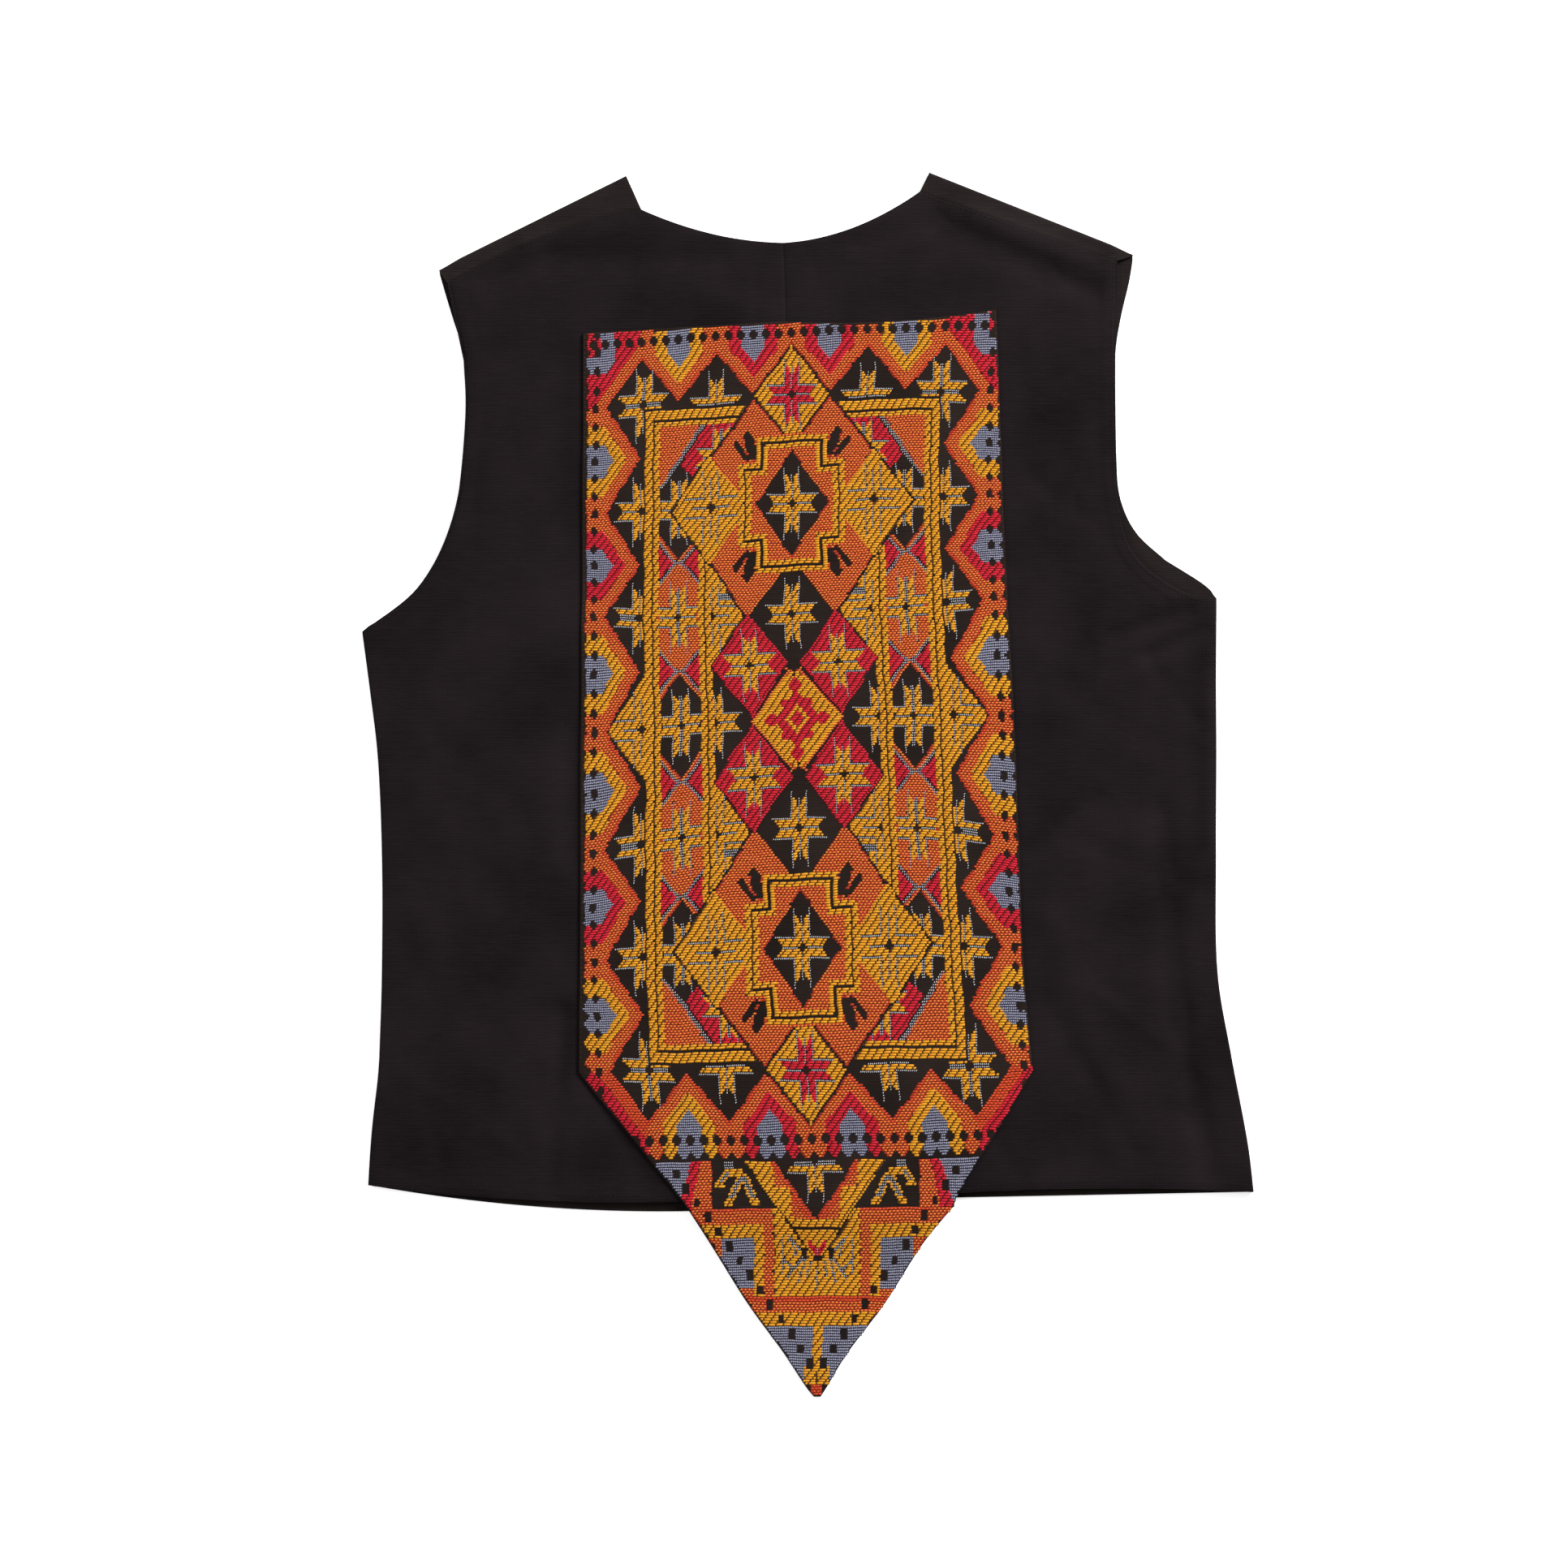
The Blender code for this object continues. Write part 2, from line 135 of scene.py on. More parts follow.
LEFT_BACK = sections(
    # Hem to the panel's lower corner
    (-73, -244, 0, -257.5, -234.5, 3.8), (-86.5, -227, 0, -256.5, -217.5, 3),
    (-107.5, -201, 0, -254.5, -194, 1.5), (-126.5, -178, 0, -252, -173, 0.5),
    (-134, -168, 0, -251, -160, 0),
    # Side seam up to the underarm
    (-133.5, -111, 0, -249.5, -111, 0), (-133, -39.5, 0, -249.5, -39.5, 0), (-133, 17.5, 0, -252, 17.5, 0),
    (-132.5, 55.5, 0, -256.5, 55.5, 0), (-132.5, 93.5, 0, -261, 89.5, 0),
    # Armhole up to the shoulder
    (-132, 115, 0, -231.5, 112, 0), (-132, 136, 0, -221, 126, 0), (-132, 157.5, 0, -213, 142, 0),
    (-132, 179, 0, -207, 160, 0), (-131.5, 205, 0, -202.5, 188.5, 0), (-131.5, 231, 0, -200.5, 217, 0),
    (-131.5, 264, 0, -201.5, 248, -1), (-117, 295.5, 2.5, -206.5, 271.5, -3.5),
    (-97.5, 336.5, 4.5, -211, 293.5, -6),
)

RIGHT_BACK = sections(
    # Hem to the panel's lower corner
    (87.5, -239, 0, 261, -238.5, -2.4), (97, -223.5, 0, 259, -220, -1.5), (113, -198.5, 0, 255, -195.5, 0),
    (125.5, -177.5, 0, 251, -175, 0), (131.5, -168, 0, 248.5, -162, 0),
    # Side seam up to the underarm
    (126.5, -111, 0, 240, -111, 0), (123.5, -39.5, 0, 239, -39.5, 0), (121.5, 17.5, 0, 239.2, 20, 0),
    (119.5, 59.5, 0, 239, 62.5, 0), (117, 103, 0, 239.3, 109, 0),
    # Armhole up to the shoulder
    (116, 124, 0, 219.5, 113.5, 0), (115, 144, 0, 199.5, 126.5, 0), (114, 164, 0, 188, 142, 0),
    (113.5, 186, 0, 183, 164, 0), (112.5, 213, 0, 180.5, 193, 0), (111.5, 243, 0, 180, 224, 0),
    (110, 278, 3.5, 180, 255, 0), (90, 311, 5, 180.5, 281, 0), (65.5, 347, 6.4, 181, 306.5, 0),
)
SIDE_SECTIONS = 10

# Folds in the back: a line from one end to the other, half its width, and how far the cloth rises there
Fold = namedtuple("Fold", "x1 y1 x2 y2 reach rise")

FOLDS = [
    Fold(*fold)
    for fold in (
        # Hollows below both shoulders, with the swell above them
        (-188, 294, -150, 306, 6.7, -1.7), (-150, 306, -52, 308, 7.6, -1.9),
        (-164, 316, -107, 326, 6.3, 1.4), (30, 317, 76, 331, 6.5, -1.4), (78, 326, 140, 299, 6.7, -2.3),
        (140, 299, 168, 287, 5, -1.6), (96, 334, 172, 301, 5.9, 1.6),
        # Drag lines of the right underarm
        (222, 101, 178, 87, 5, -2.3), (232, 90, 200, 76, 4.2, -1.8), (172, 200, 150, 165, 6.7, -1.6),
        (150, 165, 118, 128, 6.7, -1.8),
        # Right side, down to the flared hem
        (168, -8, 130, -38, 6.7, -1.7), (206, -16, 216, -134, 7.6, -2.1),
        (216, -134, 235, -228, 6.7, -2.1), (234, 80, 234, -30, 5, 1.2), (150, 60, 205, 20, 9.4, -0.8),
        (140, -80, 175, -170, 8.2, 0.7),
        # Left side and hem
        (-225, 40, -165, -20, 8.8, -0.8), (-235, -60, -200, -150, 9.4, 0.7),
        (-180, 240, -190, 150, 5.9, 0.6), (-143, -134, -152, -238, 5.5, -2.4),
        (-131, -172, -93, -234, 5.9, -0.9), (-145, 250, -145, 150, 9.4, -1),
        (-140, 32, -140, -40, 7.1, -1.2), (-188, -180, -188, -225, 7.1, -0.9),
        # Small creases all over, from lying in a drawer
        (-160, 285, -200, 235, 4, -0.5), (-175, 120, -205, 85, 5, -0.7), (-190, 105, -240, 70, 5, 0.6),
        (-150, -60, -190, -95, 5, -0.6), (-235, -170, -170, -215, 6, 0.6),
        (-215, -222, -223, -190, 4, -0.5), (120, 215, 160, 250, 5, -0.6), (130, 180, 172, 150, 5, -0.7),
        (200, 70, 236, 30, 5, -0.7), (145, 40, 215, 75, 6, 0.6), (150, -30, 232, -62, 6, -0.7),
        (138, -125, 190, -215, 6, -0.8), (165, -120, 235, -170, 5, 0.6), (110, -205, 128, -236, 4, -0.6),
        (-60, 297, -10, 283, 5, -0.5), (20, 290, 95, 300, 5, 0.5),
        # The middle seam, and small creases below the neck
        (-14.5, 320, -12.5, 268, 1.7, -0.4), (-31, 295, -31, 275, 2.5, -0.35),
        (4.5, 306, 4.5, 293, 2.5, -0.35),
    )
]

SHOULDER_LINE_X = (-216.5, -106.5, -60.0, 30.0, 71.0, 190.5)
SHOULDER_LINE_Y = (302.0, 356.5, 420.0, 420.0, 358.5, 310.5)


def cubic_curve(t, span, start, end, start_slope, end_slope):
    """A smooth curve from start to end, t of the way along its span, with a slope at each end."""
    cubic = 2 * t**3 - 3 * t**2
    curve = (1 + cubic) * start - cubic * end
    return curve + (t**3 - 2 * t**2 + t) * span * start_slope + (t**3 - t**2) * span * end_slope


def curve_through(rows, field):
    """A column of a table at every grid row: a smooth curve through its sections, broken at corners."""
    at = np.cumsum([row.steps * FINER for row in rows])
    at -= at[0]
    values = np.array([getattr(row, field) for row in rows], float)
    slopes = np.diff(values) / np.diff(at)
    corners = [k for k, row in enumerate(rows) if row.corner]
    out = []
    for first, last in zip(corners, corners[1:]):
        for k in range(first, last):
            start = slopes[k] if k == first else (slopes[k - 1] + slopes[k]) / 2
            end = slopes[k] if k + 1 == last else (slopes[k] + slopes[k + 1]) / 2
            span = at[k + 1] - at[k]
            out += [cubic_curve(j / span, span, values[k], values[k + 1], start, end) for j in range(span)]
    out.append(values[-1])
    return np.array(out)


def across(start, end, bow, columns):
    """Points from one end of a section to the other, sagging by bow in the middle."""
    t = np.linspace(0, 1, columns + 1)[:, None]
    points = np.array(start) * (1 - t) + np.array(end) * t
    points[:, 1] -= bow * 4 * t[:, 0] * (1 - t[:, 0])
    return points


def distance_to(x, y, fold):
    """Distance from points to a fold's line."""
    run = np.array((fold.x2 - fold.x1, fold.y2 - fold.y1), float)
    t = ((x - fold.x1) * run[0] + (y - fold.y1) * run[1]) / (run @ run)
    t = np.clip(t, 0, 1)
    return np.hypot(x - fold.x1 - t * run[0], y - fold.y1 - t * run[1])


def add_folds(height, x, y, folds):
    """A cloth's height with its folds on it, each a soft ridge or a hollow along its line."""
    for fold in folds:
        height = height + fold.rise * np.exp(-((distance_to(x, y, fold) / fold.reach) ** 2))
    return height


def outline_x(table, y):
    """Where a side's outline is at a height."""
    return np.interp(y, [row.out_y for row in table], [row.out_x for row in table])


# The cloth is double where it is turned under, along the hem and the armholes
TURNED_WIDTH = 8.5
TURNED_RISE = 0.3


def turned_edges(table):
    """Lines of points along one back's hem and its armhole."""
    first = table[0]
    hem = across((first.panel_x, first.panel_y), (first.out_x, first.out_y), first.out_bow, 4)
    armhole = [(row.out_x, row.out_y) for row in table[SIDE_SECTIONS - 1 :]]
    return [(first.mid_x, first.mid_y), *map(tuple, hem)], armhole


def gap_to(x, y, line):
    """Distance from points to a line of points."""
    return np.min([distance_to(x, y, Fold(*a, *b, 0, 0)) for a, b in zip(line, line[1:])], axis=0)


def lay(x, y):
    """Height of the middle of the back's wall: low along the edges, higher inside, with its folds."""
    hem = LEFT_BACK[0].mid_y
    edges = (
        x - outline_x(LEFT_BACK, y),
        outline_x(RIGHT_BACK, y) - x,
        y - hem,
        np.interp(x, SHOULDER_LINE_X, SHOULDER_LINE_Y) - y,
    )
    loft = LOFT
    for inside in edges:
        loft = loft * (1 - np.exp(-np.maximum(inside, 0) / LOFT_REACH))
    height = EDGE_LEVEL + loft
    height = add_folds(height, x, y, FOLDS)
    for line in (*turned_edges(LEFT_BACK), *turned_edges(RIGHT_BACK)):
        height = height + TURNED_RISE * (1 - soften(TURNED_WIDTH - 1, TURNED_WIDTH + 0.8, gap_to(x, y, line)))
    return np.maximum(height, LEAST_LEVEL)


def add_edge(plan, heights, outward, rolls, turn):
    """Adds the columns past each section's end: a quarter turn down or up to the side seam, or flat cloth.

    The last column of plan is the outline. It moves in by the turn's reach, and the turn is laid past it."""
    reach = SIDE_RADIUS + CLOTH_WALL / 2
    turned = [(SIDE_RADIUS * math.sin(a), turn * SIDE_RADIUS * (1 - math.cos(a))) for a in SIDE_TURNS]
    turned.append((SIDE_RADIUS, turn * (SIDE_RADIUS + SIDE_STRAIGHT)))
    flat = [(reach * share, 0) for share in OPEN_EDGE_SHARES]
    rows = []
    for points, level, away, roll in zip(plan, heights, outward, rolls):
        start = points[-1] - away * reach
        row = [(*point, z) for point, z in zip(points[:-1], level[:-1])]
        row.append((*start, level[-1]))
        row += [(*(start + away * out), level[-1] + rise) for out, rise in (turned if roll else flat)]
        rows.append(row)
    return rows


def directions(plan, first):
    """Unit direction of each section at its outer end."""
    runs = [points[-1] - points[first] for points in plan]
    return [run / np.linalg.norm(run) for run in runs]


def back_sections(table):
    """Plan of one back: each grid row from the middle seam, past the panel's edge, to the outline."""
    column = {field: curve_through(table, field) for field in Section._fields[1:-1]}
    plan = []
    for k in range(len(column["mid_x"])):
        middle = (column["mid_x"][k], column["mid_y"][k])
        panel = (column["panel_x"][k], column["panel_y"][k])
        out = (column["out_x"][k], column["out_y"][k])
        inner = across(middle, panel, column["panel_bow"][k], INNER_COLUMNS)
        outer = across(panel, out, column["out_bow"][k], OUTER_COLUMNS)
        plan.append(np.vstack((inner, outer[1:])))
    return plan


def row_of(table, section):
    """The grid row of a section of a table."""
    return sum(row.steps for row in table[: section + 1]) * FINER


def back_points(table):
    """The middle of one back's wall, row by row from the hem."""
    plan = back_sections(table)
    side = math.copysign(1, table[0].out_x)
    heights = []
    for points in plan:
        points[0, 0] += side * SEAM_GAP / 2
        heights.append(lay(*points.T))
        heights[-1][-1] = EDGE_LEVEL
    underarm = row_of(table, SIDE_SECTIONS - 1)
    rolls = [k <= underarm for k in range(len(plan))]
    return add_edge(plan, heights, directions(plan, INNER_COLUMNS), rolls, -1)


def soften(low, high, value):
    """0 below low, 1 above high, and a smooth step between."""
    t = np.clip((value - low) / (high - low), 0, 1)
    return t * t * (3 - 2 * t)


def sheet_of_cloth(name, rows, wall, finish):
    """A piece of cloth: a grid moved onto rows of points, then given its wall and rounded edges."""
    points = np.array([list(map(tuple, row)) for row in rows]) * MM
    count, width = points.shape[:2]
    bpy.ops.object.select_all(action="DESELECT")
    bpy.ops.mesh.primitive_grid_add(x_subdivisions=width - 1, y_subdivisions=count - 1, size=1.0)
    piece = bpy.context.object
    piece.name = name
    mesh = piece.data
    mesh.name = name
    mesh.vertices.foreach_set("co", points.reshape(-1))
    mesh.update()
    middle = mesh.polygons[(count // 2) * (width - 1) + width // 2]
    if middle.normal.z < 0:
        mesh.flip_normals()
    mesh.materials.append(finish)
    wall_step = piece.modifiers.new("Wall", "SOLIDIFY")
    wall_step.thickness = wall * MM
    wall_step.offset = 0.0
    bpy.ops.object.modifier_apply(modifier=wall_step.name)
    edge_step = piece.modifiers.new("Worn edge", "BEVEL")
    edge_step.width = WORN_EDGE * MM
    edge_step.segments = 2
    edge_step.limit_method = "ANGLE"
    edge_step.angle_limit = math.radians(WORN_ANGLE)
    bpy.ops.object.modifier_apply(modifier=edge_step.name)
    mesh.shade_smooth()
    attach(piece, "root")
    return piece


# The cotton: a matt black weave with fine ribs across the vest, thinner threads up it, and slubs
RIB_PITCH = 1.15
WARP_PITCH = 0.62
WAVE_TURN = 0.314159


def add_node(tree, kind, **inputs):
    """A node whose sockets are set to values or joined to other nodes' sockets."""
    node = tree.nodes.new(kind)
    for name, value in inputs.items():
        socket = node.inputs[name.replace("_", " ")]
        if isinstance(value, bpy.types.NodeSocket):
            tree.links.new(value, socket)
        else:
            socket.default_value = value
    return node


def threads(tree, place, direction, pitch, wander):
    """Bands of threads along one way, a pitch in millimetres apart."""
    wave = {"Scale": WAVE_TURN / (pitch * MM), "Distortion": wander, "Detail": 2.0, "Detail_Scale": 0.35}
    node = add_node(tree, "ShaderNodeTexWave", Vector=place, **wave)
    node.bands_direction = direction
    return node.outputs["Fac"]


def noise(tree, place, size, detail):
    """Noise whose lumps have a size in millimetres, along each axis where it is given three."""
    sizes = size if isinstance(size, tuple) else (size, size, size)
    stretch = add_node(tree, "ShaderNodeMapping", Vector=place, Scale=[1 / (s * MM) for s in sizes])
    node = add_node(tree, "ShaderNodeTexNoise", Vector=stretch.outputs[0], Scale=1.0, Detail=detail)
    return node.outputs["Fac"]


def maths(tree, how, a, b):
    """One sum of two sockets or numbers."""
    node = tree.nodes.new("ShaderNodeMath")
    node.operation = how
    for socket, value in zip(node.inputs, (a, b)):
        if isinstance(value, (int, float)):
            socket.default_value = value
        else:
            tree.links.new(value, socket)
    return node.outputs[0]


def between(tree, share, low, high):
    """A colour from low to high by share."""
    node = tree.nodes.new("ShaderNodeMix")
    node.data_type = "RGBA"
    node.inputs["A"].default_value = (*low, 1)
    node.inputs["B"].default_value = (*high, 1)
    tree.links.new(share, node.inputs["Factor"])
    return node.outputs["Result"]


def raise_by(tree, shader, height, depth):
    """Bump: height from 0 to 1 stands for a depth in millimetres."""
    node = add_node(tree, "ShaderNodeBump", Strength=1.0, Distance=depth * MM, Height=height)
    tree.links.new(node.outputs["Normal"], shader.inputs["Normal"])


def total(tree, *parts):
    """The sum of some sockets, each times its share."""
    parts = [maths(tree, "MULTIPLY", socket, share) for socket, share in parts]
    out = parts[0]
    for part in parts[1:]:
        out = maths(tree, "ADD", out, part)
    return out


def new_finish(name, roughness, specular):
    """A fresh finish: its material, its tree, its shader and the place on the piece."""
    finish = bpy.data.materials.new(name)
    finish.use_nodes = True
    tree = finish.node_tree
    shader = tree.nodes["Principled BSDF"]
    shader.inputs["Roughness"].default_value = roughness
    shader.inputs["Specular IOR Level"].default_value = specular
    return finish, tree, shader, tree.nodes.new("ShaderNodeTexCoord").outputs["Object"]


def cotton(name, dark, light):
    """Matt black cotton."""
    finish, tree, shader, place = new_finish(name, 0.92, 0.05)
    ribs = threads(tree, place, "Y", RIB_PITCH, 2.4)
    warp = threads(tree, place, "X", WARP_PITCH, 1.8)
    weave = total(tree, (ribs, 0.65), (warp, 0.35))
    slubs = noise(tree, place, (9.0, 0.9, 9.0), 2.0)
    fuzz = noise(tree, place, 0.5, 2.0)
    # Broad lumps of lighter and darker tone: partly wear of the cloth, partly painted shade standing in for
    # the shading of its broad tilts and sheen
    wear_and_shade = noise(tree, place, 60.0, 3.0)
    share = total(tree, (slubs, 0.4), (fuzz, 0.4), (wear_and_shade, 1.1), (weave, 0.4))
    share = maths(tree, "SUBTRACT", share, 0.68)
    tree.links.new(between(tree, share, dark, light), shader.inputs["Base Color"])
    raise_by(tree, shader, total(tree, (weave, 0.7), (slubs, 0.3)), 0.16)
    return finish


black_cotton = cotton("black_cotton", (0.0036, 0.0024, 0.0027), (0.0185, 0.0132, 0.0148))
black_thread = cotton("black_thread", (0.0045, 0.0032, 0.0034), (0.0190, 0.0142, 0.0152))

# A stitch is a short thread, thickest in its middle: where its corners are along it, across it and up
STITCH = np.array(
    (
        (-1, 0, 0), (-0.6, 1, 0), (-0.6, 0, 1), (-0.6, -1, 0), (-0.6, 0, -1),
        (0.6, 1, 0), (0.6, 0, 1), (0.6, -1, 0), (0.6, 0, -1), (1, 0, 0),
    )
)
STITCH_FACES = (
    (0, 2, 1), (0, 3, 2), (0, 4, 3), (0, 1, 4),
    (1, 2, 6), (1, 6, 5), (2, 3, 7), (2, 7, 6), (3, 4, 8), (3, 8, 7), (4, 1, 5), (4, 5, 8),
    (9, 5, 6), (9, 6, 7), (9, 7, 8), (9, 8, 5),
)
STITCH_PITCH = 2.9
STITCH_LENGTH = 2.1
STITCH_THICK = 0.36
HEM_INSET = 4.0
ARMHOLE_INSET = 2.4
SHOULDER_INSET = 1.5


def many_as_one(name, points, size, faces, finish):
    """Copies of a small form as one mesh: all their points in millimetres, and one form's faces."""
    count = len(points) // size
    corners = (np.array(faces)[None] + np.arange(count)[:, None, None] * size).reshape(-1, 3)
    mesh = bpy.data.meshes.new(name)
    mesh.from_pydata(points * MM, [], corners)
    mesh.shade_smooth()
    mesh.materials.append(finish)
    piece = bpy.data.objects.new(name, mesh)
    bpy.context.scene.collection.objects.link(piece)
    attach(piece, "root")
    return piece, corners


def stitches(name, lines, level, finish):
    """Rows of stitches along lines, as one mesh. Level gives the cloth's upper side."""
    points = []
    for line in lines:
        line = np.array(line)
        far = np.concatenate(([0], np.cumsum(np.hypot(*np.diff(line, axis=0).T))))
        at = np.arange(STITCH_PITCH, far[-1] - STITCH_PITCH, STITCH_PITCH)
        x, y = (np.interp(at, far, along) for along in line.T)
        ahead = [np.interp(at + 0.5, far, along) for along in line.T]
        run = np.column_stack(ahead) - np.column_stack((x, y))
        run = run / np.linalg.norm(run, axis=1)[:, None]
        along = STITCH[:, 0] * STITCH_LENGTH / 2
        aside = STITCH[:, 1] * STITCH_THICK / 2
        px = x[:, None] + run[:, :1] * along - run[:, 1:] * aside
        py = y[:, None] + run[:, 1:] * along + run[:, :1] * aside
        pz = level(x, y)[:, None] + STITCH[:, 2] * STITCH_THICK / 2
        points.append(np.stack((px, py, pz), axis=-1).reshape(-1, 3))
    return many_as_one(name, np.vstack(points), len(STITCH), STITCH_FACES, finish)[0]


def back_top(x, y):
    """Height of the back's upper side."""
    return lay(x, y) + CLOTH_WALL / 2


def back_seams(table):
    """Where one back is stitched: along its hem, its armhole and its shoulder seam."""
    plan = back_sections(table)
    hem = plan[0][INNER_COLUMNS:] + (0, HEM_INSET)
    shoulder = plan[-1][INNER_COLUMNS:] - (0, SHOULDER_INSET)
    armhole = np.array([points[-1] for points in plan[row_of(table, SIDE_SECTIONS - 1) :]])
    run = np.gradient(armhole, axis=0)
    run = run / np.linalg.norm(run, axis=1)[:, None]
    inward = np.column_stack((-run[:, 1], run[:, 0])) * math.copysign(1, table[0].out_x)
    return hem, armhole + inward * ARMHOLE_INSET, shoulder


# Each back: its sections, and the width, length and area of its cut in metres
for name, table, cut, area in (
    ("back_left", LEFT_BACK, (0.262, 0.585), 0.131),
    ("back_right", RIGHT_BACK, (0.262, 0.595), 0.124),
):
    back = sheet_of_cloth("cloth_" + name, back_points(table), CLOTH_WALL, black_cotton)
    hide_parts(name)
    thread = stitches("stitches_" + name, back_seams(table), back_top, black_thread)

# Fronts
# The same cotton, cut with a V neck and open down the middle, where they lie edge to edge under the
# back. Each turns round at the side seam and the shoulder, and its top strip lies on the back's side.
SHOULDER_RADIUS = (EDGE_LEVEL - FRONT_LEVEL) / 2
SHOULDER_TURNS = 8
PRESSED_RADIUS = 0.55
PRESSED_REACH = 16.0
LEAST_SLANT = 0.35

# Over how many rows the sag of the hem fades, and how far in from the edges the creases start and are full
HEM_SAG_ROWS = 2 * FINER
CREASE_START = 4.0
CREASE_FULL = 30.0

# A section of one front above the underarm, from the neck's edge to the armhole
Front = namedtuple("Front", "steps in_x in_y out_x out_y corner", defaults=(False,))

LEFT_FRONT = [Front(*row) for row in (
    (2, -8.5, 127, -229, 112), (1, -8, 155, -218.5, 126, True), (1, -19, 183, -210.5, 142),
    (1, -33, 211, -204.5, 160), (2, -50, 242, -200, 188.5), (1, -67, 271, -198.5, 217),
    (1, -82, 300, -199.5, 245.5), (1, -94, 326, -207.5, 271.5), (1, -100, 342, -212.5, 288),
    (1, -106.5, 356.5, -216.5, 302, True),
)]

RIGHT_FRONT = [Front(*row) for row in (
    (2, -8.5, 130, 230, 118.7), (1, -8, 155, 209.5, 131.5, True), (1, 3, 183, 194, 145.5),
    (1, 14, 211, 185.5, 160), (2, 27, 242, 180.5, 188.5), (1, 40, 271, 180, 217), (1, 51, 300, 180, 250),
    (1, 60.5, 326, 183, 272), (1, 65.5, 343, 188.3, 295), (1, 71, 358.5, 190.8, 311, True),
)]

# Soft creases of the fronts, which nobody sees while the vest lies on them
FRONT_FOLDS = [
    Fold(*fold)
    for fold in (
        (-210, 60, -120, 20, 13, 0.9), (-205, -60, -90, -75, 15, 0.8), (-180, -200, -150, -90, 11, 0.9),
        (-120, 240, -60, 150, 14, 0.9), (205, 55, 110, 25, 13, 0.8), (195, -70, 70, -60, 15, 0.9),
        (190, -205, 165, -110, 11, 0.8), (120, 245, 60, 160, 14, 0.8),
    )
]


def front_level(x, y, depth):
    """Height of a front's wall: flat on the table, with a few soft creases away from its edges."""
    height = add_folds(np.full(len(x), FRONT_LEVEL), x, y, FRONT_FOLDS)
    return FRONT_LEVEL + (height - FRONT_LEVEL) * soften(CREASE_START, CREASE_FULL, depth)


def front_points(back_table, front_table, hem):
    """The middle of one front's wall: up from the hem, round the shoulder and down to the shoulder seam."""
    side = math.copysign(1, back_table[0].out_x)
    lower = [
        Front(row.steps, row.mid_x, row.mid_y, row.out_x, row.out_y, row.corner)
        for row in back_table[:SIDE_SECTIONS]
    ]
    lower[0] = lower[0]._replace(in_y=hem[0])
    table = lower + front_table
    column = {field: curve_through(table, field) for field in Front._fields[1:-1]}
    underarm = row_of(back_table, SIDE_SECTIONS - 1)
    plan = []
    for k in range(len(column["in_x"])):
        start = (column["in_x"][k] + side * SEAM_GAP / 2, column["in_y"][k])
        end = (column["out_x"][k], column["out_y"][k])
        bow = hem[1] * max(0.0, 1 - k / HEM_SAG_ROWS)
        plan.append(across(start, end, bow, OUTER_COLUMNS))
    # The last row is the shoulder's fold. The wall turns over about a line inside it.
    along = plan[-1][-1] - plan[-1][0]
    along = along / np.linalg.norm(along)
    away = np.array((-side * along[1], side * along[0]))
    away = away * math.copysign(1, away[1])
    plan[-1] = plan[-1] - away * (SHOULDER_RADIUS + CLOTH_WALL / 2)
    rolls = [k <= underarm for k in range(len(plan))]
    heights = []
    for k, points in enumerate(plan):
        inside = np.minimum(
            np.linalg.norm(points - points[-1], axis=1), np.linalg.norm(points - points[0], axis=1)
        )
        inside = np.minimum(inside, points[:, 1] - plan[0][:, 1])
        inside = np.minimum(inside, np.linalg.norm(points - plan[-1], axis=1))
        heights.append(front_level(points[:, 0], points[:, 1], inside))
    rows = add_edge(plan, heights, directions(plan, 0), rolls, 1)
    fold = np.array(rows[-1])
    from_armhole = np.linalg.norm(fold[:, :2] - fold[-1, :2], axis=1)[:, None]
    radius = PRESSED_RADIUS + (SHOULDER_RADIUS - PRESSED_RADIUS) * soften(1.0, PRESSED_REACH, from_armhole)
    for k in range(1, SHOULDER_TURNS + 1):
        angle = math.pi * k / SHOULDER_TURNS
        row = fold.copy()
        row[:, :2] += away * radius * math.sin(angle)
        row[:, 2:] += radius * (1 - math.cos(angle))
        rows.append(row)
    # The strip on top runs to the back's upper edge
    seam = np.array(back_points(back_table)[-1])[INNER_COLUMNS:]
    top = np.array(rows[-1])
    gap = top[:, :2] - seam[:, :2]
    gap = gap / np.linalg.norm(gap, axis=1)[:, None]
    slant = np.abs(gap @ away)
    end = seam.copy()
    end[:, :2] += gap * (SEAM_GAP / np.maximum(slant, LEAST_SLANT))[:, None]
    for share in (0.2, 0.4, 0.6, 0.8):
        middle = top * (1 - share) + end * share
        lying = soften(1.0, PRESSED_REACH, from_armhole[:, 0])
        middle[:, 2] = middle[:, 2] * (1 - lying) + lay(middle[:, 0], middle[:, 1]) * lying
        rows.append(middle)
    rows.append(end)
    return rows


# The fronts' cotton is painted a little lighter and browner than the backs': a painted highlight for the
# light and sheen that fall on them from the right
lit_front_cotton = cotton("lit_front_cotton", (0.0050, 0.0036, 0.0034), (0.0245, 0.0185, 0.0180))

# Each front: its sections, its hem with how far it sags, and the width, length and area of its cut in metres
for name, back_table, front_table, hem, cut, area in (
    ("front_left", LEFT_BACK, LEFT_FRONT, (-246, 8.8), (0.262, 0.605), 0.128),
    ("front_right", RIGHT_BACK, RIGHT_FRONT, (-243.5, 0), (0.268, 0.605), 0.122),
):
    points = front_points(back_table, front_table, hem)
    front = sheet_of_cloth("cloth_" + name, points, CLOTH_WALL, lit_front_cotton)
    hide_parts(name)

# Panel ground
# A long band of firm black and brown cotton on which the pattern is woven. Its sides and top are turned
# under and sewn to the backs, and its lower end is folded to a point that hangs past the hem.
PANEL_WALL = 1.1
PANEL_LIFT = 1.08
PANEL_GROUND = PANEL_WALL / 2
PANEL_DROP = 42.0
PANEL_TOP_SECTION = 16
PANEL_CORNER_SECTION = 4

